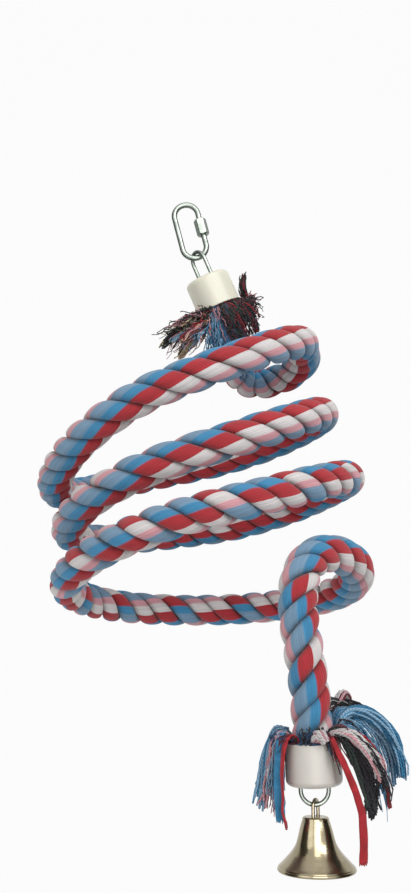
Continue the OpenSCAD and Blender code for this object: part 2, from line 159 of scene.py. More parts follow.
def hand_over(piece: Object, nodes: Sequence[str]) -> None:
    """Puts a finished piece in the place of its CAD nodes, on the perch's body.

    Args:
        piece: the piece, as a plain mesh.
        nodes: the CAD nodes that it stands for.
    """
    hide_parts(*nodes)
    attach(piece, "perch")
    LOG.info("%s: %d faces", piece.name, len(piece.data.polygons))


# Curves through chosen points


def blend(a: Vec, b: Vec, c: Vec, d: Vec, s: float) -> Vec:
    """The point at s between b and c on a smooth curve through a, b, c and d."""
    return (2 * b + (c - a) * s + (2 * a - 5 * b + 4 * c - d) * s * s + (3 * b - a - 3 * c + d) * s**3) / 2


def along(points: Sequence[Vec], t: float) -> Vec:
    """The point at t, counted in points, on a smooth curve through the given points.

    Args:
        points: the points, or single numbers, that the curve goes through.
        t: how far along, from 0 to the number of points less one.

    Returns:
        The point or number there.
    """
    last = len(points) - 1
    i = min(max(int(math.floor(t)), 0), last - 1)
    before = points[i - 1] if i > 0 else 2 * points[0] - points[1]
    after = points[i + 2] if i + 2 <= last else 2 * points[last] - points[last - 1]
    return blend(before, points[i], points[i + 1], after, t - i)


def sampled(points: Sequence[Vec], shares: Vec) -> Vec:
    """The points at shares of the way along a smooth curve through the given points."""
    return np.array([along(points, u * (len(points) - 1)) for u in shares])


def run_of(points: Vec) -> Vec:
    """The distance along a path at each of its points."""
    return np.concatenate([[0], np.cumsum(np.linalg.norm(np.diff(points, axis=0), axis=1))])


def tangents(path: Vec) -> Vec:
    """Directions along a path, one for each of its points."""
    tangent = np.gradient(path, axis=0)
    return tangent / np.linalg.norm(tangent, axis=1)[:, None]


def carried(path: Vec, first: Sequence[float]) -> tuple[Vec, Vec]:
    """Directions across a path, carried along it without twist.

    Args:
        path: the path's points.
        first: a direction that the first one across lies nearest to.

    Returns:
        First directions across and second directions across, one row for each point.
    """
    tangent = tangents(path)
    across = np.zeros_like(path)
    n = np.asarray(first, float)
    for i, t in enumerate(tangent):
        n = unit(n - t * (n @ t))
        across[i] = n
    return across, np.cross(tangent, across)


def turned(vector: Sequence[float], axis: Sequence[float], degrees: float) -> Vec:
    """A vector turned about an axis through the origin by the right-hand rule."""
    k, v, a = unit(axis), np.asarray(vector, float), math.radians(degrees)
    return v * math.cos(a) + np.cross(k, v) * math.sin(a) + k * (k @ v) * (1 - math.cos(a))


@dataclass
class MouthFrame:
    """A ferrule's mouth: its place, and its three directions, with z along the rope out of it."""

    place: Vec
    x: Vec
    y: Vec
    z: Vec

    @classmethod
    def leaning(cls, place: Vec, tip: float, lean: float) -> "MouthFrame":
        """A mouth that is tipped about x and then leant about y, in degrees."""
        return cls(place, *(turned(turned(v, (1, 0, 0), tip), (0, 1, 0), lean) for v in np.eye(3)))

    def at(self, local: Vec) -> Vec:
        """Places local points, one row each, in the row frame."""
        local = np.atleast_2d(local)
        return self.place + local[:, :1] * self.x + local[:, 1:2] * self.y + local[:, 2:] * self.z


@dataclass
class RopeRoute:
    """The middle line of the rope, as the CAD source gives it, in metres."""

    coil_radius: float = 78 * MM
    drop: float = 260 * MM
    link_lean: float = 14
    top_lean: float = 24
    top_tip: float = 10
    ferrule_height: float = 21 * MM
    link_inside: float = 33.8 * MM
    link_wire: float = 3.6 * MM
    eye_out: float = 18.5 * MM
    eye_wire: float = 2.5 * MM
    hang_gap: float = 0.4 * MM
    turns: int = 3
    turn_steps: int = 24
    fine_steps: int = 12
    lead_in_shares: tuple = (
        (0.10, 0.05, 0.065), (0.14, 0.19, 0.121), (0.22, 0.43, 0.147),
        (0.41, 0.55, 0.146), (0.61, 0.51, 0.127), (0.72, 0.31, 0.107),
    )
    middle_x_shares: tuple = (-0.29, -0.345, -0.21, -0.205, -0.085, -0.105, -0.09)
    middle_y_shares: tuple = (0.02, 0.11, 0.08, 0.14, 0.07, 0.05, -0.02)
    radius_shares: tuple = (0.97, 0.96, 1.03, 0.985, 1.09, 1.07, 1.13)
    fall_shares: tuple = (
        0.24, 0.105, 0.266, 0.448, 0.342, 0.272, 0.42, 0.552, 0.509, 0.43, 0.548, 0.684, 0.72, 0.667, 0.51,
    )
    lead_out_shares: tuple = (
        (1.01, -0.29, 0.648), (0.91, -0.51, 0.632), (0.76, -0.71, 0.627), (0.61, -0.87, 0.645),
        (0.52, -0.98, 0.69), (0.505, -1.02, 0.76), (0.54, -1.03, 0.84), (0.571, -1.02, 0.92),
    )
    end_share: tuple = (0.579, -1.01, 1.0)
    rope_inside: float = 13.7 * MM

    def __post_init__(self) -> None:
        """Works out the mouths and the knots of the middle line."""
        lean, tip = math.radians(self.top_lean), math.radians(self.top_tip)
        link = math.radians(self.link_lean)
        bar = (self.link_inside + self.link_wire / 2) * np.array([math.sin(link), 0, -math.cos(link)])
        down = np.array([math.sin(lean) * math.cos(tip), math.sin(tip), -math.cos(lean) * math.cos(tip)])
        reach = self.eye_out - self.eye_wire - self.hang_gap - self.link_wire / 2 + self.ferrule_height
        self.top_mouth = bar + down * reach
        lead_in = [self.place(s) for s in self.lead_in_shares]
        spiral = [self.spiral_point(i / self.turn_steps) for i in range(self.turns * self.turn_steps + 1)]
        lead_out = [self.place(s) for s in self.lead_out_shares]
        self.low_mouth = self.place(self.end_share)
        self.low_down = unit(self.low_mouth - lead_out[-1])
        inside = self.top_mouth - down * self.rope_inside
        self.knots = [inside, self.top_mouth, *lead_in, *spiral, *lead_out]
        self.knots += [self.low_mouth, self.low_mouth + self.low_down * self.rope_inside]

    def place(self, share: Sequence[float]) -> Vec:
        """A point of the route from its shares of the coil's radius and the rope's drop."""
        return self.top_mouth + np.array(
            [share[0] * self.coil_radius, share[1] * self.coil_radius, -share[2] * self.drop]
        )

    def spiral_point(self, turns: float) -> Vec:
        """The middle line after some turns.

        Args:
            turns: turns, counted from the spiral's right-hand end.

        Returns:
            The point, in metres.
        """
        angle, radius = 2 * math.pi * turns, along(self.radius_shares, 2 * turns)
        return self.place((
            along(self.middle_x_shares, 2 * turns) + radius * math.cos(angle),
            along(self.middle_y_shares, 2 * turns) - radius * math.sin(angle),
            along(self.fall_shares, 4 * turns + 1),
        ))

    def dense(self, step: float) -> tuple[Vec, Vec]:
        """Even points along the middle line.

        Args:
            step: distance between points in metres.

        Returns:
            The points, and for each the place along the knots, counted in knots.
        """
        fine = np.linspace(0, len(self.knots) - 1, self.fine_steps * len(self.knots))
        run = run_of(np.array([along(self.knots, t) for t in fine]))
        even = np.linspace(0, run[-1], int(run[-1] / step) + 1)
        knot = np.interp(even, run, fine)
        return np.array([along(self.knots, t) for t in knot]), knot

    def top_frame(self) -> MouthFrame:
        """The top ferrule's mouth, with y to the front."""
        return MouthFrame.leaning(self.top_mouth, 180 + self.top_tip, -self.top_lean)

    def low_frame(self) -> MouthFrame:
        """The bottom ferrule's mouth, with y to the back and z up along the rope."""
        tip = math.degrees(math.asin(self.low_down[1]))
        lean = math.degrees(math.atan2(self.low_down[0], -self.low_down[2]))
        return MouthFrame.leaning(self.low_mouth, tip, -lean)


# Finishes


class Dye(Enum):
    """The dyes of the yarn and of the cloth strips."""

    BLUE = "#377FA8"
    DEEP = "#2B5379"
    PALE = "#6D8CA5"
    RED = "#A3252D"
    MAROON = "#64202B"
    WHITE = "#CCC7C6"
    CREAM = "#CDBE9A"
    PINK = "#C68F96"
    BLACK = "#262329"
    GREEN = "#2B3833"
    SKY = "#86AECB"


def new_material(name: str) -> tuple[Material, NodeTree, Node]:
    """Makes an empty node material with its shader and output joined.

    Args:
        name: the real material's name.

    Returns:
        The material, its tree and its Principled shader.
    """
    material = bpy.data.materials.new(name)
    material.use_nodes = True
    tree = material.node_tree
    return material, tree, tree.nodes["Principled BSDF"]


def dress_cotton(
    shader: Node, dye: NodeSocket | tuple, shade: Node, height: Node, depth: float, **inputs: float,
) -> None:
    """Gives a cotton shader its shaded dye, its relief and its dull, fibrous surface.

    Args:
        shader: the Principled shader.
        dye: the colour, or the socket that gives it.
        shade: the node that gives the dye's brightness.
        height: the node that gives the relief.
        depth: the relief's depth in metres.
        inputs: further inputs by their names in small letters.
    """
    tree = shader.id_data
    tint = add(tree, "VectorMath", {0: dye, "Scale": shade}, operation="SCALE")
    bump = add(tree, "Bump", {"Strength": 0.6, "Distance": depth, "Height": height})
    feed(shader, {"Base Color": tint, "Normal": bump, "Specular IOR Level": 0.2})
    feed(shader, {name.replace("_", " ").title(): value for name, value in inputs.items()})


@dataclass(frozen=True)
class TwistedCotton:
    """Ring-spun cotton rope yarn, dyed in the yarn: matt, soft, with a slight bloom of fibre ends.

    The colour lies in bands of a few yarns, twice round each strand, which gives the eye the wavy stripes.
    Band widths, blur and sway are counted in yarns, and shades are shares of the dye's brightness. The groove
    and seam shades are painted shade.
    """

    yarns: int = 24
    bands: tuple = ((Dye.RED, 3.1), (Dye.BLUE, 2.0), (Dye.PALE, 2.9), (Dye.PINK, 1.6), (Dye.WHITE, 2.4))
    blur: float = 0.16
    sway: float = 0.5
    plies: float = 2.0
    streaks_round: float = 150.0
    streak: float = 16.7 * MM
    fibres_in_streak: float = 3.0
    ply_shades: tuple = (0.92, 1.07)
    fibre_shades: tuple = (0.86, 1.1)
    painted_groove_shade: float = 0.9
    painted_seam_shade: float = 0.55
    groove_depth: float = 0.25 * MM
    fibre_height: float = 0.35

    def stripes(self, tree: NodeTree, count: Node) -> Node:
        """Colours the yarns in their bands.

        Args:
            tree: the material's tree.
            count: the node that counts the yarns round the strand.

        Returns:
            The colour ramp.
        """
        total = sum(width for _, width in self.bands)
        phase = add(tree, "Math", {0: count, 1: total}, operation="DIVIDE")
        bands = add(tree, "ValToRGB", {0: add(tree, "Math", {0: phase}, operation="FRACT")})
        elements = bands.color_ramp.elements
        stops, start = [], 0.0
        for dye, width in self.bands:
            stops += [(start + self.blur, dye), (start + width - self.blur, dye)]
            start += width
        while len(elements) < len(stops):
            elements.new(1.0)
        for element, (place, dye) in zip(elements, stops):
            element.position, element.color = place / total, linear(dye.value)
        return bands

    def build(self) -> Material:
        """Makes the material, which reads the strand's own UV map."""
        material, tree, shader = new_material("twisted_dyed_cotton")
        uv = add(tree, "UVMap", uv_map="lay")
        split = add(tree, "SeparateXYZ", {0: uv})
        # Fibres run along the yarn: the noise is long along it and short across it
        stretch = add(tree, "Mapping", {0: uv, "Scale": (self.streaks_round, 1 / self.streak, 1.0)})
        waver = add(tree, "TexNoise", {"Vector": stretch, "Scale": 1.0, "Detail": 2.0})
        count = add(tree, "Math", {0: split, 1: float(self.yarns)}, operation="MULTIPLY")
        swayed = add(tree, "Math", {0: waver, 1: self.sway, 2: count}, operation="MULTIPLY_ADD")
        bands = self.stripes(tree, swayed)
        # Each ply takes the dye a little differently
        ply = add(tree, "Math", {0: count, 1: self.plies}, operation="MULTIPLY")
        whole = add(tree, "Math", {0: ply}, operation="FLOOR")
        luck = add(tree, "TexWhiteNoise", {"W": whole}, noise_dimensions="1D")
        shade = add(tree, "MapRange", {0: luck, 3: self.ply_shades[0], 4: self.ply_shades[1]})
        fibres = add(tree, "TexNoise", {"Vector": stretch, "Scale": self.fibres_in_streak, "Detail": 3.0})
        dull, bright = self.fibre_shades
        mottle = add(tree, "MapRange", {0: fibres, 1: 0.25, 2: 0.75, 3: dull, 4: bright})
        both = add(tree, "Math", {0: shade, 1: mottle}, operation="MULTIPLY")
        # The groove between two plies is lower, and painted shade makes it darker
        part = add(tree, "Math", {0: ply}, operation="FRACT")
        hump = add(tree, "Math", {0: part, 1: math.pi}, operation="MULTIPLY")
        height = add(tree, "Math", {0: hump}, operation="SINE")
        groove = add(tree, "MapRange", {0: height, 1: 0.0, 2: 0.6, 3: self.painted_groove_shade, 4: 1.0})
        lined = add(tree, "Math", {0: both, 1: groove}, operation="MULTIPLY")
        # Painted shade: the yarn down in the seams between the strands is darkened
        seam = add(tree, "Attribute", attribute_name="seam")
        shadow = add(tree, "MapRange", {0: seam.outputs["Fac"], 3: 1.0, 4: self.painted_seam_shade})
        dark = add(tree, "Math", {0: lined, 1: shadow}, operation="MULTIPLY")
        relief = add(tree, "Math", {0: fibres, 1: self.fibre_height, 2: height}, operation="MULTIPLY_ADD")
        dress_cotton(
            shader, bands.outputs[0], dark, relief, self.groove_depth,
            roughness=0.92, sheen_weight=0.18, sheen_roughness=0.6,
        )
        return material


@dataclass(frozen=True)
class LooseCotton:
    """Frayed cotton yarn, each in its own dye: matt and hairy, with the slanting grooves of its plies."""

    plies: int = 2
    pitch: float = 4 * MM
    tuft: float = 1.11 * MM
    tuft_shades: tuple = (0.8, 1.12)
    painted_groove_shade: float = 0.6
    groove_depth: float = 0.15 * MM
    tuft_height: float = 0.6

    def build(self) -> Material:
        """Makes the material, which reads each yarn's own attributes."""
        material, tree, shader = new_material("loose_dyed_cotton")
        dye, around, run = (add(tree, "Attribute", attribute_name=name) for name in ("dye", "around", "run"))
        split = add(tree, "SeparateXYZ", {0: around.outputs["Vector"]})
        angle = add(tree, "Math", {0: split.outputs[1], 1: split}, operation="ARCTAN2")
        twist = add(tree, "Math", {0: run.outputs["Fac"], 1: 2 * math.pi / self.pitch}, operation="MULTIPLY")
        slant = add(tree, "Math", {0: angle, 1: twist}, operation="ADD")
        wave = add(tree, "Math", {0: slant, 1: float(self.plies)}, operation="MULTIPLY")
        ply = add(tree, "Math", {0: wave}, operation="SINE")
        # Painted shade makes the grooves between the plies darker
        groove = add(tree, "MapRange", {0: ply, 1: -1.0, 2: -0.2, 3: self.painted_groove_shade, 4: 1.0})
        place = add(tree, "TexCoord").outputs["Object"]
        tufts = add(tree, "TexNoise", {"Vector": place, "Scale": 1 / self.tuft, "Detail": 3.0})
        dull, bright = self.tuft_shades
        mottle = add(tree, "MapRange", {0: tufts, 1: 0.25, 2: 0.75, 3: dull, 4: bright})
        shade = add(tree, "Math", {0: mottle, 1: groove}, operation="MULTIPLY")
        relief = add(tree, "Math", {0: tufts, 1: self.tuft_height, 2: ply}, operation="MULTIPLY_ADD")
        colour = dye.outputs["Color"]
        dress_cotton(shader, colour, shade, relief, self.groove_depth, roughness=0.95, sheen_weight=0.15)
        return material


@dataclass(frozen=True)
class TornCloth:
    """Plain-woven cotton cloth torn into strips: matt, with a weave and paler worn patches.

    The real threads are too fine to show, so the weave is drawn coarser.
    """

    dye: Dye
    drawn_thread: float = 3.14 * MM
    patch: float = 3.85 * MM
    patch_shades: tuple = (0.62, 1.12)
    weave_depth: float = 0.125 * MM

    def build(self) -> Material:
        """Makes the material, which reads the strip's own UV map, in metres."""
        material, tree, shader = new_material(f"torn_cotton_cloth_{self.dye.name.lower()}")
        uv = add(tree, "UVMap", uv_map="weave")
        # A wave texture of scale 1 runs through 20 radians in a metre
        wave = {0: uv, "Scale": 2 * math.pi / 20 / self.drawn_thread, "Distortion": 1.2}
        weft, warp = (add(tree, "TexWave", wave, bands_direction=way).outputs["Fac"] for way in "XY")
        weave = add(tree, "Math", {0: weft, 1: warp}, operation="MULTIPLY")
        cloud = add(tree, "TexNoise", {"Vector": uv, "Scale": 1 / self.patch, "Detail": 3.0})
        dull, bright = self.patch_shades
        worn = add(tree, "MapRange", {0: cloud, 1: 0.3, 2: 0.7, 3: dull, 4: bright})
        colour = linear(self.dye.value)[:3]
        dress_cotton(shader, colour, worn, weave, self.weave_depth, roughness=0.9, sheen_weight=0.1)
        return material


@dataclass(frozen=True)
class HardFinish:
    """A hard surface with two near colours in soft clouds, and scratches in its gloss and its height.

    Its scratches are rougher by the spread, and grain, depth and cloud are sizes in metres. The range
    says where the clouds begin and end in their noise, and how strong they get.
    """

    name: str
    colour: str
    cloud_colour: str
    roughness: float
    spread: float
    grain: float
    relief: float
    depth: float
    cloud: float
    cloud_detail: float
    cloud_range: tuple
    grain_edge: float

    def nature(self) -> dict:
        """The shader's inputs that make it this kind of matter."""
        return {}

    def build(self) -> Material:
        """Makes the material from noise on object coordinates."""
        material, tree, shader = new_material(self.name)
        place = add(tree, "TexCoord").outputs["Object"]
        cloud = add(tree, "TexNoise", {"Vector": place, "Scale": 1 / self.cloud, "Detail": self.cloud_detail})
        begin, end, most = self.cloud_range
        amount = add(tree, "MapRange", {0: cloud, 1: begin, 2: end, 3: 0.0, 4: most})
        # A Mix node's colours are its inputs 6 and 7, and its output 2
        two = {"Factor": amount, 6: linear(self.colour), 7: linear(self.cloud_colour)}
        mixed = add(tree, "Mix", two, data_type="RGBA")
        noise = {"Vector": place, "Scale": 1 / self.grain, "Detail": 5.0, "Roughness": self.grain_edge}
        scratch = add(tree, "TexNoise", noise)
        rough = {0: scratch, 1: 0.3, 2: 0.7, 3: self.roughness, 4: self.roughness + self.spread}
        bump = add(tree, "Bump", {"Strength": self.relief, "Distance": self.depth, "Height": scratch})
        feed(shader, {
            "Base Color": mixed.outputs[2], "Roughness": add(tree, "MapRange", rough), "Normal": bump,
            **self.nature(),
        })
        return material


@dataclass(frozen=True)
class MouldedAcetal(HardFinish):
    """Injection-moulded cream plastic: smooth satin, with faint flow marks and handling scratches."""

    roughness: float = 0.28
    spread: float = 0.2
    grain: float = 1.43 * MM
    relief: float = 0.12
    depth: float = 0.05 * MM
    cloud: float = 18.2 * MM
    cloud_detail: float = 3.0
    cloud_range: tuple = (0.0, 1.0, 1.0)
    grain_edge: float = 0.7

    def nature(self) -> dict:
        """Plastic lets a little light in under its skin."""
        return {"IOR": 1.48, "Subsurface Weight": 0.08, "Subsurface Scale": 1.5 * MM}


@dataclass(frozen=True)
class Metal(HardFinish):
    """A drawn, plated or polished metal, with scratches and cloudy tarnish at its own scale."""

    grain: float = 1.11 * MM
    relief: float = 0.1
    depth: float = 0.1 * MM
    cloud: float = 7.69 * MM
    cloud_detail: float = 4.0
    cloud_range: tuple = (0.4, 0.75, 0.9)
    grain_edge: float = 0.65

    def nature(self) -> dict:
        """Metal keeps the default IOR."""
        return {"Metallic": 1.0}


# The rope


@dataclass(frozen=True)
class LayMark:
    """Where the strands lie at one place, in degrees against the directions carried along the rope.

    Args:
        knot: place along the route, in knots.
        first: turn of the first strand.
        reds: turn of the red band of each strand.
    """

    knot: float
    first: float
    reds: tuple[float, float, float]


@dataclass
class StripedRope:
    """Three strands of dyed cotton yarn, laid right-handed round the core wire.

    A strand's back falls away from its crown, all round and once more at the seam. Half is half of a
    strand's share of the turn, and reach how far its tube goes, in degrees. Wander, in radians, and
    swell, as a share, are strays of a strand, each with the number of places where it changes.
    """

    route: RopeRoute
    crown_fall: float = 1.9 * MM
    seam_fall: float = 1.7 * MM
    heart: float = 1.2 * MM
    ring_step: float = 1.1 * MM
    sides: int = 23
    half: float = 60.0
    reach: float = 66.0
    wander: tuple = (0.05, 60)
    swell: tuple = (0.008, 150)
    seed: int = 7
    marks: tuple = (
        LayMark(0, 31, (771, 775, 784)), LayMark(3, 414, (823, 827, 832)),
        LayMark(6, 833, (723, 726, 728)), LayMark(9, 1280, (710, 715, 703)),
        LayMark(13, 1817, (674, 683, 678)), LayMark(17, 2415, (588, 582, 578)),
        LayMark(21, 3129, (573, 552, 541)), LayMark(25, 3800, (563, 553, 564)),
        LayMark(29, 4380, (511, 519, 515)), LayMark(33, 4973, (550, 559, 545)),
        LayMark(37, 5560, (534, 509, 539)), LayMark(41, 6102, (422, 409, 445)),
        LayMark(45, 6635, (368, 381, 402)), LayMark(49, 7227, (355, 368, 389)),
        LayMark(53, 7905, (363, 364, 396)), LayMark(57, 8614, (371, 360, 411)),
        LayMark(61, 9358, (351, 341, 420)), LayMark(65, 10110, (302, 289, 380)),
        LayMark(69, 10781, (277, 285, 374)), LayMark(73, 11451, (230, 239, 343)),
        LayMark(77, 12140, (216, 213, 340)), LayMark(81, 12816, (203, 192, 388)),
        LayMark(83, 13102, (176, 176, 382)), LayMark(85, 13428, (176, 187, 412)),
        LayMark(87, 13833, (178, 192, 420)), LayMark(90, 14382, (205, 202, 433)),
    )

    def tube_faces(self, rings: int) -> list[tuple[int, ...]]:
        """The faces of a strand, with a cap at each end.

        Args:
            rings: how many rings of vertices it has.

        Returns:
            Vertex numbers of each face.
        """
        count = self.sides + 1
        faces = []
        for a in range(0, (rings - 1) * count, count):
            for k in range(count):
                b = (k + 1) % count
                faces.append((a + k, a + b, a + count + b, a + count + k))
        faces.append(tuple(range(count - 1, -1, -1)))
        faces.append(tuple((rings - 1) * count + k for k in range(count)))
        return faces

    def build(self) -> None:
        """Builds the three strands, each a closed tube of its own."""
        path, knot = self.route.dense(self.ring_step)
        first, second = carried(path, (0, 1, 0))
        run = np.arange(len(path)) * self.ring_step
        places = [mark.knot for mark in self.marks]
        twist = np.radians(np.interp(knot, places, [mark.first for mark in self.marks]))
        finish = TwistedCotton()
        cotton = finish.build()
        red_middle = finish.bands[0][1] / 2 / finish.yarns
        rng = np.random.default_rng(self.seed)
        lobe = np.radians(np.linspace(-self.reach, self.reach, self.sides))
        share = abs(lobe) / math.radians(self.half)
        profile = ROPE_RADIUS - self.crown_fall * share**2 - self.seam_fall * share**8
        faces = self.tube_faces(len(run))
        for strand in range(3):
            wander, swell = (
                np.interp(run, np.linspace(0, run[-1], count), rng.normal(0, size, count))
                for size, count in (self.wander, self.swell)
            )
            middle = twist + 2 * math.pi * strand / 3 + wander
            red = np.interp(knot, places, [mark.reds[strand] for mark in self.marks])
            angle = np.concatenate([middle[:, None] + lobe, middle[:, None]], axis=1)
            # The last vertex of each ring lies near the core wire, and closes the strand
            heart = np.full((len(run), 1), self.heart)
            reach = np.concatenate([profile * (1 + swell[:, None]), heart], axis=1)
            x, y = (reach * np.cos(angle))[..., None], (reach * np.sin(angle))[..., None]
            points = path[:, None] + x * first[:, None] + y * second[:, None]
            piece = mesh_object(f"rope_strand_{strand + 1}", points.reshape(-1, 3), faces)
            turn = (np.degrees(angle) - red[:, None]) / 360 + red_middle
            lay_uv(piece, "lay", np.stack([turn.ravel(), np.repeat(run, self.sides + 1)], axis=1))
            # The seam attribute is the mask of the painted shade in the seams between the strands
            seam = np.tile(np.append(np.clip(share**4, 0, 1), 1.0), len(run))
            depth = piece.data.attributes.new("seam", "FLOAT", "POINT")
            depth.data.foreach_set("value", seam.astype(np.float32))
            piece.data.materials.append(cotton)
            hand_over(piece, ["rope"])


# Frayed yarn


def yarn_tree() -> NodeTree:
    """Makes the Geometry Nodes tree that turns drawn lines into round yarns.

    Returns:
        A tree whose inputs are the geometry, the yarn's half thickness, its sides and its material.
    """
    tree = bpy.data.node_groups.new("yarns_along_lines", "GeometryNodeTree")
    inputs = (("Lines", "Geometry"), ("Half thickness", "Float"), ("Sides", "Int"), ("Cotton", "Material"))
    for name, kind in inputs:
        tree.interface.new_socket(name, in_out="INPUT", socket_type="NodeSocket" + kind)
    tree.interface.new_socket("Yarns", in_out="OUTPUT", socket_type="NodeSocketGeometry")
    given = add(tree, "NodeGroupInput").outputs
    lines = add(tree, "GeometryNodeMeshToCurve", {"Mesh": given["Lines"]})
    share = add(tree, "GeometryNodeInputNamedAttribute", {"Name": "plump"})
    size = {0: share.outputs["Attribute"], 1: given["Half thickness"]}
    thick = add(tree, "Math", size, operation="MULTIPLY")
    ring = add(tree, "GeometryNodeCurvePrimitiveCircle", {"Resolution": given["Sides"], "Radius": 1.0})
    place = {"Geometry": ring, "Name": "around", "Value": add(tree, "GeometryNodeInputPosition")}
    marked = add(tree, "GeometryNodeStoreNamedAttribute", place, data_type="FLOAT_VECTOR", domain="POINT")
    drawn = {"Curve": lines, "Profile Curve": marked, "Scale": thick, "Fill Caps": True}
    tube = add(tree, "GeometryNodeCurveToMesh", drawn)
    smooth = add(tree, "GeometryNodeSetShadeSmooth", {0: tube})
    real = add(tree, "GeometryNodeRealizeInstances", {0: smooth})
    dyed = add(tree, "GeometryNodeSetMaterial", {"Geometry": real, "Material": given["Cotton"]})
    add(tree, "NodeGroupOutput", {"Yarns": dyed})
    return tree


def run_tree(piece: Object, tree: NodeTree, inputs: dict) -> None:
    """Runs a Geometry Nodes tree on a piece and keeps the plain mesh that it gives.

    Args:
        piece: the object that carries the tree's input geometry.
        tree: the tree.
        inputs: input name to value.
    """
    modifier = piece.modifiers.new("grow", "NODES")
    modifier.node_group = tree
    for item in tree.interface.items_tree:
        if item.in_out == "INPUT" and item.name in inputs:
            modifier[item.identifier] = inputs[item.name]
    bpy.context.view_layer.update()
    graph = bpy.context.evaluated_depsgraph_get()
    grown = piece.evaluated_get(graph)
    mesh = bpy.data.meshes.new_from_object(grown, preserve_all_data_layers=True, depsgraph=graph)
    piece.modifiers.remove(modifier)
    piece.data = mesh


@dataclass
class Bunch:
    """One bunch of yarns, or one cloth strip, that stands for a CAD solid of the same name.

    Args:
        node: the CAD node.
        dyes: the dyes of its yarns.
        angle: where it leaves the mouth, in degrees round it.
        length: its length in metres.
        shares: its route: out, sideways and along, in shares of its length.
        wide: widths at root, belly and tip, in metres.
        thick: thicknesses at root, belly and tip, in metres.
        turn: how far it turns about its own line, in degrees.
        yarns: how many yarns it has.
        frizz: how far its yarns stray, in metres.
        label: what tells a second part of the bunch from the first.
        rise: how far its root stands out of the mouth, in metres.
    """

    node: str
    dyes: tuple
    angle: float
    length: float
    shares: tuple
    wide: tuple
    thick: tuple
    turn: float = 0.0
    yarns: int = 30
    frizz: float = 1.2 * MM
    label: str = ""
    rise: float = 0.1 * MM

    def line(self, steps: int = 4) -> tuple[Vec, Vec, Vec]:
        """The bunch's own line and its directions across, at the mouth.

        Args:
            steps: points for each stretch between two of its shares.

        Returns:
            Points, directions across its width and directions through it, in the mouth's frame.
        """
        root = np.array([ROOT_RADIUS, 0.0, 0.0])
        knots = [root + (0, 0, self.rise)] + [root + np.array(s) * self.length for s in self.shares]
        points = np.array([along(knots, j / steps) for j in range((len(knots) - 1) * steps + 1)])
        tangent = tangents(points)
        tangent[0] = (0, 0, 1)
        side = np.array([unit(np.array([0, 1, 0]) - t * t[1]) for t in tangent])
        face = np.cross(side, tangent)
        a = np.radians(self.turn * np.linspace(0, 1, len(points)))[:, None]
        across, through = np.cos(a) * side + np.sin(a) * face, np.cos(a) * face - np.sin(a) * side
        c, s = math.cos(math.radians(self.angle)), math.sin(math.radians(self.angle))
        spin = np.array([[c, -s, 0], [s, c, 0], [0, 0, 1]])
        return points @ spin.T, across @ spin.T, through @ spin.T

    def sizes(self, shares: Vec) -> tuple[Vec, Vec]:
        """Width and thickness at shares of the bunch's length."""
        return sampled(np.array(self.wide), shares), sampled(np.array(self.thick), shares)

    def way(self, shares: Vec) -> Vec:
        """The way out, sideways and along from the root, at shares of the length up to PAST_TIP."""
        knots = [np.zeros(3)] + [np.array(s) * self.length for s in self.shares]
        return sampled(knots, np.minimum(shares, PAST_TIP))


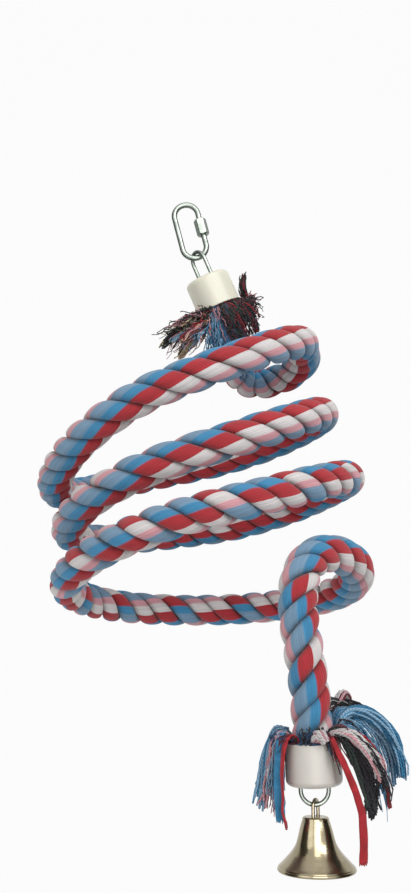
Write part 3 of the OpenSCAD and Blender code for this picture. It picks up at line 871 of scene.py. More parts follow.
@dataclass
class YarnMaker:
    """Makes loose yarns with one Geometry Nodes tree.

    Plump, taper, beads, tones, short and stray are shares: of a yarn's thickness, of the brightness of its
    dye, of the bunch's length and of its frizz. Beads and waves say how often too, in radians.
    """

    sides: int = 6
    plump: tuple = (0.8, 1.15)
    taper: float = 0.35
    beads: tuple = (0.1, 40)
    tones: tuple = (0.78, 1.12)
    lag: float = 4 * MM
    short: float = 0.16
    stray: float = 0.45
    waves: tuple = (5.0, 11.0, 19.0)
    dip: float = 2 * MM
    points: int = 15
    least_back: float = 0.1 * MM

    def __post_init__(self) -> None:
        """Builds the tree and the cotton that all bunches share."""
        self.tree = yarn_tree()
        self.cotton = LooseCotton().build()

    def grow(
        self, name: str, lines: Sequence[Vec], dyes: Sequence[Dye], half: float, rng: np.random.Generator,
        sides: int | None = None,
    ) -> Object:
        """Turns drawn lines into yarns with their own dyes.

        Args:
            name: the piece's name.
            lines: the points of each yarn.
            dyes: the dye of each yarn.
            half: half the thickness of a yarn, in metres.
            rng: the seeded random numbers.
            sides: sides of a yarn, where they aren't the usual ones.

        Returns:
            The piece, as a plain mesh.
        """
        edges, plump, colours, runs, start = [], [], [], [], 0
        swell, often = self.beads
        for line, dye in zip(lines, dyes):
            n = len(line)
            edges += [(start + i, start + i + 1) for i in range(n - 1)]
            start += n
            u = np.linspace(0, 1, n)
            size = rng.uniform(*self.plump) * (1 - self.taper * u**4)
            plump.append(size * (1 + swell * np.sin(often * u + rng.uniform(0, 6))))
            runs.append(run_of(line) + rng.uniform(0, self.lag))
            tone = np.array(linear(dye.value)[:3]) * rng.uniform(*self.tones)
            colours.append(np.tile(np.append(tone, 1.0), n))
        mesh = bpy.data.meshes.new(name)
        mesh.from_pydata(np.concatenate(lines).tolist(), edges, [])
        rows = (
            ("plump", "FLOAT", "value", plump), ("run", "FLOAT", "value", runs),
            ("dye", "FLOAT_COLOR", "color", colours),
        )
        for attribute, kind, field, values in rows:
            mesh.attributes.new(attribute, kind, "POINT").data.foreach_set(field, np.concatenate(values))
        piece = bpy.data.objects.new(name, mesh)
        bpy.context.scene.collection.objects.link(piece)
        inputs = {"Half thickness": half, "Sides": sides or self.sides, "Cotton": self.cotton}
        run_tree(piece, self.tree, inputs)
        return piece

    def bunch(self, bunch: Bunch, mouth: MouthFrame, half: float, seed: int) -> Object:
        """Fills one bunch's solid with yarns that part and fray towards their tips.

        Args:
            bunch: the bunch.
            mouth: the ferrule's mouth that it comes from.
            half: half the thickness of a yarn, in metres.
            seed: seed of its random numbers.

        Returns:
            The piece.
        """
        rng = np.random.default_rng(seed)
        route = bunch.line()
        lines, dyes = [], []
        for j in range(bunch.yarns):
            # The yarns' places across the bunch follow a sunflower's seeds
            spread, turn = math.sqrt((j + 0.5) / bunch.yarns), GOLDEN_TURN * j
            u = np.linspace(0, 1.0 - self.short * rng.uniform(0, 1) ** 1.5, self.points)
            at, across, through = (sampled(part, u) for part in route)
            wide, thick = bunch.sizes(u)
            waves = sum(
                rng.normal(0, 1, 3) * np.sin(u * often + rng.uniform(0, 6))[:, None] for often in self.waves
            )
            out = spread * math.cos(turn) * (wide / 2 - half * 0.6)
            back = spread * math.sin(turn) * np.maximum(thick / 2 - half * 0.6, self.least_back)
            stray = bunch.frizz * self.stray * waves * (u**1.2)[:, None]
            line = at + across * out[:, None] + through * back[:, None] + stray
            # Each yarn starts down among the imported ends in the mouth
            lines.append(mouth.at(np.vstack([line[0] - (0, 0, self.dip), line])))
            dyes.append(bunch.dyes[rng.integers(len(bunch.dyes))])
        return self.grow(bunch.node + bunch.label + "_yarns", lines, dyes, half, rng)


@dataclass
class TornStrip:
    """One torn cloth strip: thin, slightly cupped, with ragged edges and a ragged end.

    Ripple, in height, and edge, as a share of the width, are strays, each with the number of places
    where it changes. Torn is where the ragged end starts, body is half the thickness, and slack is how
    long its route is against the bunch's length, all as shares.
    """

    bunch: Bunch
    mouth: MouthFrame
    seed: int
    rows: int = 60
    cols: int = 17
    ripple: tuple = (0.3 * MM, 14)
    edge: tuple = (0.035, 40)
    cup: float = 0.35 * MM
    ragged: float = 1.1 * MM
    torn: float = 0.97
    body: float = 0.42
    slack: float = 1.2

    def points(self) -> Vec:
        """The strip's two sides, in metres, one row of numbers for each point."""
        rng = np.random.default_rng(self.seed)
        u, v = np.linspace(0, 1, self.rows), np.linspace(-1, 1, self.cols)
        at, across, through = (sampled(part, u) for part in self.bunch.line(steps=8))
        wide, thick = self.bunch.sizes(u)
        ripple, edge = (
            np.interp(u, np.linspace(0, 1, count), rng.normal(0, size, count))
            for size, count in (self.ripple, self.edge)
        )
        ragged = rng.normal(0, self.ragged, self.cols)
        tail = np.outer(np.clip((u - self.torn) / (1 - self.torn), 0, 1), unit(at[-1] - at[-2]))
        grid = np.zeros((2, self.rows, self.cols, 3))
        for side, sign in enumerate((1, -1)):
            for k, w in enumerate(v):
                lift = sign * self.body * thick * (1 - abs(w) ** 4 * 0.8) + self.cup * (w**2 - 0.4) + ripple
                out = w * (1 + edge) * wide / 2
                grid[side, :, k] = at + across * out[:, None] + through * lift[:, None] + tail * ragged[k]
        return self.mouth.at(grid.reshape(-1, 3))

    def faces(self) -> list[tuple[int, ...]]:
        """The faces of both sides and of the rim round them."""
        rows, cols = self.rows, self.cols
        count = rows * cols
        faces = []
        for i in range(rows - 1):
            for p in range(i * cols, i * cols + cols - 1):
                faces.append((p, p + 1, p + cols + 1, p + cols))
                faces.append((count + p, count + p + cols, count + p + cols + 1, count + p + 1))
        rim = [*range(cols), *range(2 * cols - 1, count, cols), *range(count - 2, count - cols - 1, -1)]
        rim += range(count - 2 * cols, 0, -cols)
        for p, q in zip(rim, rim[1:] + rim[:1]):
            faces.append((q, p, count + p, count + q))
        return faces

    def build(self) -> Object:
        """Makes the strip's mesh, its UV map in metres and its cloth."""
        piece = mesh_object(self.bunch.node + "_cloth", self.points(), self.faces())
        across = np.linspace(-1, 1, self.cols) * self.bunch.wide[1] / 2
        along_it = np.linspace(0, 1, self.rows) * self.bunch.length * self.slack
        flat = np.stack([np.tile(across, self.rows), np.repeat(along_it, self.cols)], axis=1)
        lay_uv(piece, "weave", np.concatenate([flat, flat]))
        piece.data.materials.append(TornCloth(self.bunch.dyes[0]).build())
        return piece


# The two frayed ends


@dataclass(frozen=True)
class Fill:
    """So many single yarns of one dye, between two angles round a mouth.

    Args:
        dye: their dye.
        count: how many.
        low: first angle in degrees.
        high: last angle in degrees.
        least: least share of the bunches' length that they reach.
        most: greatest such share.
        crinkle: how far they stray, in metres.
        puff: least and greatest share of the bunches' way out that they take.
        keep: least and greatest share of the bunches' way along the rope that they take.
    """

    dye: Dye
    count: int
    low: float
    high: float
    least: float
    most: float
    crinkle: float
    puff: tuple = (0.75, 1.25)
    keep: tuple = (1.0, 1.0)


@dataclass
class FrayedEnds:
    """The yarn and cloth that stand out of the ferrules' mouths, and the yarn ends packed in them.

    A half is half the thickness of a kind of yarn. A ring of packed ends has its number of ends, its place
    in the gap as a share, and its offset in steps. Their turn, in radians, rise, lean and mix of dyes, in
    dyes, are strays. Crinkles are a loose yarn's waves: how often each turns, in radians, and its share of
    the stray, and settle is the share of the length where they grow.
    """

    route: RopeRoute
    maker: YarnMaker
    slots: dict[str, str]
    tassel: float = 50 * MM
    skirt: float = 42 * MM
    strip: float = 5 * MM
    strip_thick: float = 1.4 * MM
    root_thick: float = 1.91 * MM
    skirt_half: float = 0.55 * MM
    tassel_half: float = 0.75 * MM
    loose_half: float = 0.42 * MM
    packed_half: float = 0.5 * MM
    outer_radius: float = 14.25 * MM
    packed: tuple = ((64, 0.3, 0.0), (70, 0.72, 0.5))
    packed_depth: float = 12.5 * MM
    packed_turn: float = 0.02
    packed_rise: tuple = (-0.2 * MM, 1.0 * MM)
    packed_lean: float = 0.1 * MM
    packed_mix: float = 0.4
    loose_points: int = 13
    crinkles: tuple = ((5.0, 1.0), (13.0, 0.7), (27.0, 0.45))
    settle: float = 0.25
    root_dip: float = 1.5 * MM
    wall_gap: float = 0.6 * MM
    rope_gap: float = 0.7 * MM

    def __post_init__(self) -> None:
        """Sets the widths and thicknesses that the bunches share."""
        t, w = self.root_thick, self.strip
        self.thin, self.thick = (t, 2.2 * t, 1.6 * t), (t, 3.4 * t, 2 * t)
        self.slim, self.full, self.flat = (0.8 * w, 1.3 * w, w), (0.8 * w, 2 * w, 1.5 * w), (0.8 * w, w, w)
        self.fan = (0.8 * w, 1.5 * w, 2.3 * w)
        self.flat_thick = (self.strip_thick,) * 3

    def skirts(self) -> list[Bunch]:
        """The bunches under the top ferrule."""
        d, n, size = Dye, self.skirt, (self.slim, self.thin)
        fat = (self.slim, self.thick)
        return [
            Bunch("skirt_red_right", (d.RED, d.RED, d.MAROON, d.BLACK), 48, n,
                ((0.08, 0, 0.1), (0.18, 0, 0.22), (0.22, 0, 0.42), (0.2, 0, 0.62)), *size),
            Bunch("skirt_blue_front", (d.BLACK, d.DEEP, d.MAROON, d.GREEN), 80, n,
                ((0.09, 0, 0.14), (0.17, 0, 0.34), (0.2, 0, 0.58), (0.16, 0, 0.82)), *size),
            Bunch("skirt_blue_low", (d.BLUE, d.PALE, d.DEEP, d.PINK), 112, n,
                ((0.07, 0, 0.2), (0.12, 0, 0.48), (0.16, 0, 0.76), (0.18, 0, 1.04)), *size),
            Bunch("skirt_red_left", (d.RED, d.MAROON, d.PINK, d.CREAM), 144, n,
                ((0.1, 0, 0.12), (0.28, 0, 0.2), (0.5, 0, 0.25), (0.7, 0, 0.33)), *fat, yarns=34),
            Bunch("skirt_black_left", (d.BLACK, d.GREEN, d.BLACK, d.CREAM), 176, n,
                ((0.1, 0, 0.1), (0.28, 0, 0.14), (0.54, 0, 0.14), (0.8, 0, 0.22)), *fat,
                yarns=34, frizz=1.8 * MM),
            Bunch("skirt_pink_left", (d.PINK, d.CREAM, d.CREAM, d.GREEN), 208, n,
                ((0.1, 0, 0.14), (0.28, 0, 0.24), (0.5, 0, 0.34), (0.68, 0, 0.42)), *fat, yarns=34),
            Bunch("skirt_black_back", (d.BLACK, d.BLACK, d.GREEN), 296, n,
                ((0.08, 0, 0.12), (0.2, 0, 0.2), (0.32, 0, 0.34)), *size),
            Bunch("skirt_black_right", (d.BLACK, d.BLACK, d.GREEN, d.MAROON), 345, n,
                ((0.11, 0, 0.08), (0.2, 0, -0.02), (0.24, 0, -0.2), (0.34, 0, -0.34)), *size, frizz=1.8 * MM),
        ]

    def tassels(self) -> list[Bunch]:
        """The loose yarn that comes out of the bottom ferrule."""
        d, n = Dye, self.tassel
        slim, full, fan, thin, thick = self.slim, self.full, self.fan, self.thin, self.thick
        return [
            Bunch("tassel_pale_left", (d.SKY, d.SKY, d.SKY, d.BLUE), 152, n,
                ((0.06, 0, 0.07), (0.13, 0.01, 0.1), (0.2, 0.01, -0.02), (0.27, 0.01, -0.2),
                (0.34, 0, -0.42), (0.4, 0, -0.66)), fan, thick, 80, yarns=40),
            Bunch("tassel_pink_left", (d.PINK, d.PINK, d.WHITE), 176, n,
                ((0.05, 0, 0.07), (0.1, 0, 0.07), (0.15, 0, -0.03), (0.19, 0, -0.22), (0.24, 0, -0.42),
                (0.28, 0, -0.62)), slim, thin, 80, yarns=12),
            Bunch("tassel_blue_right", (d.BLUE, d.SKY, d.PALE, d.BLUE), 28, n,
                ((0.07, 0.04, 0.14), (0.17, 0.06, 0.25), (0.34, -0.04, 0.22), (0.5, -0.16, 0.04),
                (0.59, -0.22, -0.2), (0.6, -0.25, -0.48)), full, thick, yarns=32),
            Bunch("tassel_blue_right", (d.BLUE, d.SKY, d.BLUE), 338, n,
                ((0.05, 0.12, 0.2), (0.13, 0.3, 0.27), (0.3, 0.4, 0.22), (0.48, 0.42, 0.04),
                (0.57, 0.42, -0.2), (0.58, 0.42, -0.42)), slim, thick, yarns=26, label="_front"),
            Bunch("tassel_white_right", (d.WHITE, d.WHITE, d.PINK), 340, n,
                ((0.06, 0.04, 0.08), (0.17, 0.1, 0.06), (0.31, 0.16, -0.1), (0.41, 0.2, -0.24),
                (0.45, 0.22, -0.4)), slim, thin, yarns=16),
            Bunch("tassel_white_right", (d.WHITE, d.WHITE, d.WHITE, d.PINK), 300, n,
                ((0.07, 0.05, 0.1), (0.2, 0.14, 0.1), (0.32, 0.24, -0.03), (0.36, 0.32, -0.18),
                (0.37, 0.36, -0.33)), slim, thin, yarns=38, frizz=1.3 * MM, label="_front"),
            Bunch("tassel_black_right", (d.BLACK, d.BLACK, d.GREEN), 317, n,
                ((0.07, 0.03, 0.08), (0.17, 0.08, 0), (0.24, 0.14, -0.22), (0.29, 0.19, -0.46),
                (0.31, 0.22, -0.7)), full, thick, yarns=50, frizz=2.2 * MM),
            Bunch("tassel_black_back", (d.BLACK, d.BLACK, d.GREEN), 52, n,
                ((0.05, 0.03, 0.15), (0.15, 0.05, 0.29), (0.32, 0, 0.33), (0.47, -0.18, 0.23),
                (0.59, -0.31, 0.06)), slim, thick, frizz=1.8 * MM),
            Bunch("tassel_black_back", (d.WHITE, d.PINK, d.WHITE, d.MAROON), 52, n,
                ((0.04, 0, 0.1), (0.15, 0, 0.2), (0.29, 0, 0.32), (0.42, 0, 0.42), (0.52, 0, 0.36),
                (0.5, 0, 0.26)), slim, thin, yarns=22, frizz=0.5 * MM, label="_curl"),
            Bunch("tassel_white_front", (d.WHITE, d.WHITE, d.WHITE, d.PINK), 270, n,
                ((0.05, 0.02, 0.07), (0.08, 0.06, 0.08), (0.1, 0.1, 0.02)), slim, thick,
                yarns=34, frizz=0.3 * MM),
        ]

    def strips(self) -> list[Bunch]:
        """The cloth strips that come out of the bottom ferrule."""
        d, n, flat, t = Dye, self.tassel, self.flat, self.flat_thick
        narrow = (0.5 * self.strip, 0.72 * self.strip, self.strip)
        return [
            Bunch("strip_blue_left", (d.BLUE,), 200, n,
                ((0.045, 0, 0.07), (0.09, 0, 0.07), (0.13, 0, -0.04), (0.15, 0, -0.22), (0.16, 0, -0.46),
                (0.15, 0, -0.72)), flat, t, 80),
            Bunch("strip_red_left", (d.RED,), 224, n,
                ((0.04, -0.01, 0.06), (0.08, -0.04, 0.07), (0.12, -0.07, -0.02), (0.13, -0.1, -0.24),
                (0.13, -0.1, -0.48), (0.12, -0.09, -0.76)), flat, t, -52),
            Bunch("strip_red_right", (d.RED,), 4, n,
                ((0.05, 0.04, 0.08), (0.17, 0.06, 0.1), (0.33, 0.05, -0.02), (0.45, 0.03, -0.28),
                (0.52, 0.01, -0.66)), flat, t, 20),
            Bunch("strip_red_front", (d.RED,), 294, n,
                ((0.05, 0.01, 0.07), (0.12, 0.04, 0.02), (0.18, 0.13, -0.24), (0.2, 0.23, -0.52),
                (0.19, 0.28, -0.74), (0.16, 0.28, -1.12)), narrow, t),
        ]

    def packed_ends(self, node: str, mouth: MouthFrame, dyes: Sequence[Dye], seed: int) -> None:
        """Packs short yarn ends between the rope and a ferrule's wall.

        Args:
            node: the CAD node that they stand for.
            mouth: the ferrule's mouth.
            dyes: the dyes, which follow each other round the mouth.
            seed: seed of the random numbers.
        """
        rng = np.random.default_rng(seed)
        lines, colours = [], []
        for count, share, offset in self.packed:
            radius = ROPE_RADIUS + (BORE_RADIUS - ROPE_RADIUS) * share
            for k in range(count):
                angle = 2 * math.pi * (k + offset) / count + rng.normal(0, self.packed_turn)
                depth = np.linspace(-self.packed_depth, rng.uniform(*self.packed_rise), 5)
                lean = radius + np.array([0, 0, 0, 0, rng.uniform(-self.packed_lean, self.packed_lean)])
                line = np.stack([lean * math.cos(angle), lean * math.sin(angle), depth], axis=1)
                lines.append(mouth.at(line))
                near = k * len(dyes) / count + rng.uniform(-self.packed_mix, self.packed_mix)
                colours.append(dyes[int(near) % len(dyes)])
        piece = self.maker.grow(node + "_ends", lines, colours, self.packed_half, rng)
        hand_over(piece, [node])

    def loose_line(self, fill: Fill, ordered: Sequence[Bunch], rng: np.random.Generator) -> Vec:
        """Draws one crinkled yarn, whose way lies between those of the two bunches beside it.

        Args:
            fill: where the yarn goes and how it strays.
            ordered: the bunches round the mouth, by their angle.
            rng: the seeded random numbers.

        Returns:
            The yarn's points, in the mouth's frame.
        """
        angle = rng.uniform(fill.low, fill.high) % 360
        after = int(np.searchsorted([b.angle for b in ordered], angle)) % len(ordered)
        a, b = ordered[after - 1], ordered[after]
        share = ((angle - a.angle) % 360) / ((b.angle - a.angle) % 360)
        reach = rng.uniform(fill.least, fill.most)
        u = np.linspace(0, reach, self.loose_points)
        local = a.way(u) * (1 - share) + b.way(u) * share
        puff, keep = rng.uniform(*fill.puff), rng.uniform(*fill.keep)
        radius, side = ROOT_RADIUS + local[:, 0] * puff, local[:, 1]
        c, s = math.cos(math.radians(angle)), math.sin(math.radians(angle))
        line = np.stack([radius * c - side * s, radius * s + side * c, local[:, 2] * keep], axis=1)
        crinkle = np.zeros_like(line)
        for turns, part in self.crinkles:
            phase = rng.uniform(0, 6, 3)
            strays = rng.normal(0, fill.crinkle * part, 3)
            crinkle += strays * np.sin(turns * u[:, None] / max(reach, 0.1) + phase)
        line += crinkle * np.clip(u / self.settle, 0, 1)[:, None]
        line[0, 2] = -self.root_dip
        # Beyond the mouth's plane the yarn stays off the rope, and behind it off the ferrule
        off_rope, off_wall = ROPE_RADIUS + self.rope_gap, self.outer_radius + self.wall_gap
        least = np.where(line[:, 2] < self.wall_gap, off_wall, off_rope)
        least[0] = off_rope
        line[:, :2] *= np.maximum(1.0, least / np.hypot(line[:, 0], line[:, 1]))[:, None]
        return line

    def filler(
        self, name: str, bunches: Sequence[Bunch], mouth: MouthFrame, plan: Sequence[Fill], seed: int,
    ) -> None:
        """Adds single crinkled yarns that fill the room between the bunches.

        Args:
            name: the piece's name.
            bunches: the bunches round this mouth.
            mouth: the ferrule's mouth.
            plan: how many yarns of which dye go where.
            seed: seed of the random numbers.
        """
        rng = np.random.default_rng(seed)
        ordered = sorted(bunches, key=lambda b: b.angle)
        colours = [fill.dye for fill in plan for _ in range(fill.count)]
        lines = [mouth.at(self.loose_line(fill, ordered, rng)) for fill in plan for _ in range(fill.count)]
        piece = self.maker.grow(name, lines, colours, self.loose_half, rng, sides=4)
        hand_over(piece, [bunch.node for bunch in bunches])

    def upper_plan(self) -> tuple[Fill, ...]:
        """The loose yarns under the top ferrule."""
        d = Dye
        return (
            Fill(d.BLACK, 150, 20, 100, 0.35, 1.0, 1.1 * MM, (0.8, 1.4)),
            Fill(d.GREEN, 50, 20, 100, 0.35, 1.0, 1.1 * MM, (0.8, 1.4)),
            Fill(d.MAROON, 90, 10, 105, 0.3, 1.0, 1.1 * MM, (0.8, 1.4)),
            Fill(d.RED, 50, 0, 80, 0.3, 0.9, 1.0 * MM, (0.8, 1.4)),
            Fill(d.BLACK, 70, 130, 200, 0.4, 1.05, 1.2 * MM, (0.7, 1.1), (-0.2, 1.1)),
            Fill(d.GREEN, 60, 120, 200, 0.4, 1.05, 1.2 * MM, (0.7, 1.1), (-0.2, 1.1)),
            Fill(d.CREAM, 60, 130, 190, 0.5, 1.0, 1.2 * MM, (0.7, 1.0), (0.2, 1.2)),
            Fill(d.PINK, 44, 100, 190, 0.4, 0.9, 0.8 * MM, (0.7, 1.1), (0.3, 1.2)),
            Fill(d.PINK, 44, 140, 200, 0.4, 1.0, 1.1 * MM, (0.7, 1.1), (-0.1, 1.0)),
            Fill(d.RED, 40, 120, 190, 0.3, 0.9, 1.1 * MM, (0.7, 1.1), (0.0, 1.0)),
            Fill(d.BLUE, 80, 100, 155, 0.4, 1.0, 0.9 * MM),
            Fill(d.SKY, 60, 112, 160, 0.4, 1.0, 0.9 * MM),
            Fill(d.PALE, 50, 105, 155, 0.4, 1.0, 0.9 * MM),
            Fill(d.DEEP, 70, 70, 130, 0.7, 1.2, 0.8 * MM),
            Fill(d.MAROON, 40, 140, 200, 0.4, 1.0, 1.1 * MM, (0.7, 1.1), (0.0, 1.1)),
            Fill(d.SKY, 40, 122, 168, 0.5, 1.0, 1.1 * MM, (0.7, 1.0), (1.0, 1.8)),
            Fill(d.MAROON, 30, 122, 180, 0.5, 1.0, 1.1 * MM, (0.7, 1.0), (1.0, 1.8)),
            Fill(d.CREAM, 30, 150, 215, 0.5, 1.0, 1.2 * MM, (0.8, 1.1), (0.8, 1.5)),
            Fill(d.PINK, 30, 130, 190, 0.5, 1.0, 1.1 * MM, (0.7, 1.1), (0.8, 1.6)),
            Fill(d.BLACK, 60, 200, 380, 0.3, 1.0, 1.1 * MM),
        )

    def lower_plan(self) -> tuple[Fill, ...]:
        """The loose yarns round the bottom ferrule."""
        d = Dye
        return (
            Fill(d.BLACK, 120, 306, 320, 0.4, 0.94, 0.8 * MM, (1.0, 1.7)),
            Fill(d.BLACK, 44, 36, 75, 0.4, 1.0, 0.9 * MM, (0.85, 1.08)),
            Fill(d.BLACK, 34, 240, 285, 0.1, 0.5, 0.5 * MM, (0.6, 1.1), (1.0, 2.6)),
            Fill(d.DEEP, 44, 235, 285, 0.1, 0.5, 0.5 * MM, (0.6, 1.1), (1.0, 2.4)),
            Fill(d.MAROON, 30, 285, 320, 0.2, 0.5, 0.5 * MM, (0.8, 1.1), (1.0, 1.8)),
            Fill(d.BLACK, 30, 285, 325, 0.2, 0.5, 0.5 * MM, (0.8, 1.1), (1.0, 1.8)),
            Fill(d.RED, 20, 345, 365, 0.3, 0.8, 0.4 * MM),
            Fill(d.BLUE, 60, 339, 380, 0.5, 1.0, 0.6 * MM, (0.8, 1.05), (1.0, 1.3)),
            Fill(d.SKY, 60, 339, 388, 0.5, 1.0, 0.6 * MM, (0.8, 1.05), (1.0, 1.3)),
            Fill(d.SKY, 110, 140, 192, 0.5, 1.02, 0.7 * MM, (0.5, 1.1)),
            Fill(d.PALE, 50, 140, 192, 0.5, 1.02, 0.7 * MM, (0.4, 1.1)),
            Fill(d.BLUE, 30, 150, 205, 0.4, 0.9, 0.6 * MM, (0.4, 1.0)),
            Fill(d.PINK, 36, 160, 196, 0.75, 1.05, 0.7 * MM, (0.4, 1.0)),
            Fill(d.DEEP, 70, 150, 225, 0.15, 0.55, 0.6 * MM, (0.9, 1.3)),
            Fill(d.MAROON, 40, 160, 230, 0.15, 0.5, 0.6 * MM, (0.9, 1.3)),
            Fill(d.BLACK, 24, 165, 230, 0.15, 0.45, 0.5 * MM, (0.9, 1.2)),
            Fill(d.WHITE, 26, 40, 62, 0.25, 0.6, 0.9 * MM, (0.8, 1.1), (1.0, 1.2)),
            Fill(d.PINK, 18, 40, 62, 0.25, 0.6, 0.9 * MM, (0.8, 1.1), (1.0, 1.2)),
        )

    def build(self) -> None:
        """Builds everything at both ferrules."""
        top, low = self.route.top_frame(), self.route.low_frame()
        rows = ((self.skirts(), top, self.skirt_half, 100), (self.tassels(), low, self.tassel_half, 200))
        for bunches, mouth, half, seed in rows:
            for i, bunch in enumerate(bunches):
                piece = self.maker.bunch(bunch, mouth, half, seed + i)
                hand_over(piece, [bunch.node])
        for i, strip in enumerate(self.strips()):
            hand_over(TornStrip(strip, low, seed=300 + i).build(), [strip.node])
        d = Dye
        around = (
            d.BLACK, d.RED, d.BLACK, d.BLUE, d.DEEP, d.RED,
            d.BLACK, d.PINK, d.GREEN, d.BLACK, d.BLACK, d.MAROON,
        )
        self.packed_ends("top_yarn_roots", top, around, seed=11)
        below = (
            d.RED, d.BLUE, d.BLACK, d.BLUE, d.PALE, d.PALE,
            d.PINK, d.BLUE, d.RED, d.WHITE, d.BLACK, d.WHITE,
        )
        self.packed_ends("bottom_yarn_roots", low, below, seed=12)
        self.filler("skirt_loose_yarns", self.skirts(), top, self.upper_plan(), seed=13)
        hanging = self.tassels() + self.strips()
        self.filler("tassel_loose_yarns", hanging, low, self.lower_plan(), seed=14)


# Hard parts


class HardParts:
    """Finishes for the CAD nodes that show their real form already."""

    def build(self, nodes: dict[str, Object]) -> None:
        """Gives each metal and plastic node its finish.

        Args:
            nodes: node name to its object.
        """
        # Zinc-plated steel wire: dull silver grey, a little cloudy
        zinc = Metal("zinc_plated_steel", "#8A918B", "#5C645E", roughness=0.26, spread=0.14).build()
        # Bare drawn steel inside the ferrules, the rope and the bell: darker and duller
        bare = Metal("drawn_steel", "#8E8F8D", "#6B6762", roughness=0.38, spread=0.15).build()
        # Nickel plating over brass on the bell: warm, bright, gently cloudy
        nickel = Metal(
            "nickel_plated_bell", "#A2987F", "#857B60", roughness=0.17, spread=0.06,
            grain=3.85 * MM, relief=0.015,
        ).build()
        # The same plating on the bell's wire loop, drawn and so a little duller
        wire = Metal("nickel_plated_wire", "#A79E89", "#7D7460", roughness=0.24, spread=0.14).build()
        # Polished steel: neutral grey and the brightest steel of the part
        ball = Metal("polished_steel_ball", "#A9A9A6", "#85837F", roughness=0.2, spread=0.1).build()
        # Acetal: satin and slightly waxy. Both ferrules are the same cream plastic: creamier at the top
        # ferrule, and at the bottom one a copy painted darker and greyer as painted shade
        warm = MouldedAcetal("moulded_acetal_warm", "#DAD8C8", "#D1CEBB").build()
        shaded_acetal = MouldedAcetal("moulded_acetal_shaded_copy", "#C9C5BE", "#BCB7AF").build()
        finishes = {
            "quick_link": zinc, "quick_link_nut": zinc, "top_eye": zinc, "bottom_eye": zinc,
            "top_anchor_plate": bare, "bottom_anchor_plate": bare, "core_wire": bare,
            "top_ferrule": warm, "bottom_ferrule": shaded_acetal, "bell_shell": nickel, "bell_loop": wire,
            "bell_washer": bare, "clapper_wire": bare, "clapper_ball": ball,
        }
        for name, finish in finishes.items():
            materials = nodes[name].data.materials
            materials.clear()
            materials.append(finish)
            LOG.info("%s: %s", name, finish.name)


# Stage


@dataclass(frozen=True)
class Camera:
    """The camera at the photograph's place and angle."""

    place: tuple = (13.9 * MM, -580 * MM, -283.6 * MM)
    rise: float = 12.2
    lens: float = 38.98
    sensor: float = 36.0
    near: float = 0.01
    far: float = 20.0

    def build(self) -> None:
        """Makes it the scene's camera."""
        data = bpy.data.cameras.new("photo_camera")
        data.sensor_fit, data.sensor_height, data.lens = "VERTICAL", self.sensor, self.lens
        data.clip_start, data.clip_end = self.near, self.far
        camera = bpy.data.objects.new("photo_camera", data)
        camera.location = self.place
        camera.rotation_euler = (math.radians(90 + self.rise), 0, 0)
        bpy.context.scene.collection.objects.link(camera)
        bpy.context.scene.camera = camera


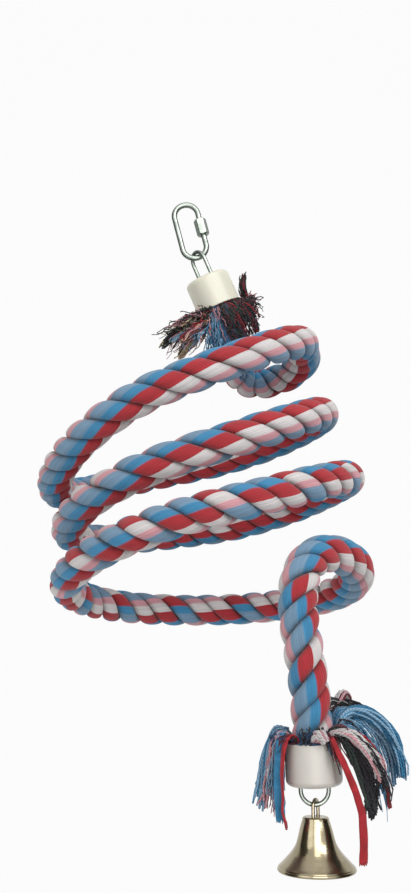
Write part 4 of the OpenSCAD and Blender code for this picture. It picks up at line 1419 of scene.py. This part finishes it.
@dataclass
class Studio:
    """A pale, softly lit corner: a paper sweep, a soft key light, a fill, and cards that metal mirrors.

    A flag's edges are its front, back, foot and top, and the front card's its left, right, y, foot and top.
    """

    floor_z: float = -1.05
    wall_y: float = 2.9
    bend: float = 0.6
    bend_steps: int = 16
    far: float = 5.0
    glow: float = 0.93
    daylight: float = 0.55
    middle: tuple = (0.01, 0.0, -0.2)
    flag_edges: tuple = (-0.55, 0.25, -1.2, 0.8)
    front_edges: tuple = (-0.26, 0.56, -1.25, -1.0, 2.4)
    front_light: float = 4.6

    def seen(self, tree: NodeTree) -> Node:
        """Tells the rays that see a background from the ones that are only lit by it.

        Args:
            tree: the material's or world's node tree.

        Returns:
            A node that gives 1 for a camera, glossy or transmission ray and else 0.
        """
        path = add(tree, "LightPath").outputs
        sharp = add(tree, "Math", {0: path["Is Camera Ray"], 1: path["Is Glossy Ray"]}, operation="MAXIMUM")
        return add(tree, "Math", {0: sharp, 1: path["Is Transmission Ray"]}, operation="MAXIMUM")

    def paper(self) -> Material:
        """White paper that stays white for the camera and still takes a faint shadow."""
        material, tree, shader = new_material("white_paper")
        feed(shader, {"Base Color": linear("#F4F4F4"), "Roughness": 0.95})
        light = add(tree, "Emission", {"Color": (1.0, 1.0, 1.0, 1.0), "Strength": 1.0})
        share = add(tree, "Math", {0: self.seen(tree), 1: self.glow}, operation="MULTIPLY")
        feed(tree.nodes["Material Output"], {0: add(tree, "MixShader", {0: share, 1: shader, 2: light})})
        return material

    def sweep(self) -> Object:
        """Lays one sheet of paper that curves up from floor to backdrop, so that no edge shows."""
        profile = [(-self.far, self.floor_z)]
        for k in range(self.bend_steps + 1):
            a = math.radians(90 * k / self.bend_steps)
            y = self.wall_y - self.bend * (1 - math.sin(a))
            profile.append((y, self.floor_z + self.bend * (1 - math.cos(a))))
        profile.append((self.wall_y, self.far))
        vertices = [(x, y, z) for y, z in profile for x in (-self.far, self.far)]
        faces = [(k, k + 1, k + 3, k + 2) for k in range(0, len(vertices) - 2, 2)]
        sheet = mesh_object("paper_sweep", vertices, faces)
        sheet.data.materials.append(self.paper())
        return sheet

    def lamp(self, name: str, place: Sequence[float], size: float, watts: float) -> Object:
        """Adds a square soft light that looks at the middle.

        Args:
            name: the light's name.
            place: where it stands, in metres.
            size: its side in metres.
            watts: its power.

        Returns:
            The light's object.
        """
        data = bpy.data.lights.new(name, "AREA")
        data.energy, data.size = watts, size
        lamp = bpy.data.objects.new(name, data)
        lamp.location = place
        z = unit(np.asarray(place) - self.middle)
        x = unit(np.cross((0, 0, 1), z))
        lamp.rotation_euler = Matrix((x, np.cross(z, x), z)).transposed().to_euler()
        bpy.context.scene.collection.objects.link(lamp)
        return lamp

    def card(self, name: str, corners: Sequence[tuple], finish: str, inputs: dict) -> Object:
        """Stands a card that only shows in polished metal, as a bright or a dark band.

        Args:
            name: the card's name.
            corners: its four corners in metres.
            finish: its material's name.
            inputs: what that material's shader is given.

        Returns:
            The card.
        """
        card = mesh_object(name, corners, [(0, 1, 2, 3)])
        material, _, shader = new_material(finish)
        feed(shader, inputs)
        card.data.materials.append(material)
        for kind in ("camera", "diffuse", "shadow", "transmission", "volume_scatter"):
            setattr(card, "visible_" + kind, False)
        return card

    def cards(self) -> list[Object]:
        """The dark cards at both sides and the lit one behind the camera."""
        cards = []
        front, back, low, high = self.flag_edges
        felt = {"Base Color": linear("#2E2A1E"), "Roughness": 1.0}
        for name, x in (("left_flag", -0.75), ("right_flag", 0.8)):
            corners = [(x, front, low), (x, back, low), (x, back, high), (x, front, high)]
            cards.append(self.card(name, corners, name + "_felt", felt))
        left, right, y, low, high = self.front_edges
        corners = [(left, y, low), (right, y, low), (right, y, high), (left, y, high)]
        warm = (1.0, 0.98, 0.95, 1.0)
        lit = {"Base Color": linear("#FFFFFF"), "Emission Color": warm, "Emission Strength": self.front_light}
        cards.append(self.card("front_card", corners, "lit_card", lit))
        return cards

    def build(self) -> None:
        """Builds the stage, the lights and the world."""
        pieces = [self.sweep()]
        pieces.append(self.lamp("key_light", (0.75, -1.0, 0.6), size=0.7, watts=14.0))
        pieces.append(self.lamp("fill_light", (-1.0, -0.9, 0.0), size=1.2, watts=6.0))
        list(self.cards())
        world = bpy.data.worlds.new("studio")
        world.use_nodes = True
        tree = world.node_tree
        strength = add(tree, "MapRange", {0: self.seen(tree), 3: self.daylight, 4: 1.0})
        feed(tree.nodes["Background"], {"Color": (1.0, 1.0, 1.0, 1.0), "Strength": strength})
        bpy.context.scene.world = world
        bpy.context.scene.view_settings.view_transform = "Standard"


def main() -> None:
    """Loads the frame, builds every piece and logs each piece's face count."""
    logging.basicConfig(level=logging.INFO, format="%(name)s %(message)s")
    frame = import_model()
    slots = {part["node"]: part["material_slot"] for part in frame["record"]["subparts"]}
    route = RopeRoute()
    StripedRope(route).build()
    FrayedEnds(route, YarnMaker(), slots).build()
    HardParts().build(frame["nodes"])
    Studio().build()
    Camera().build()


if __name__ == "__main__":
    main()
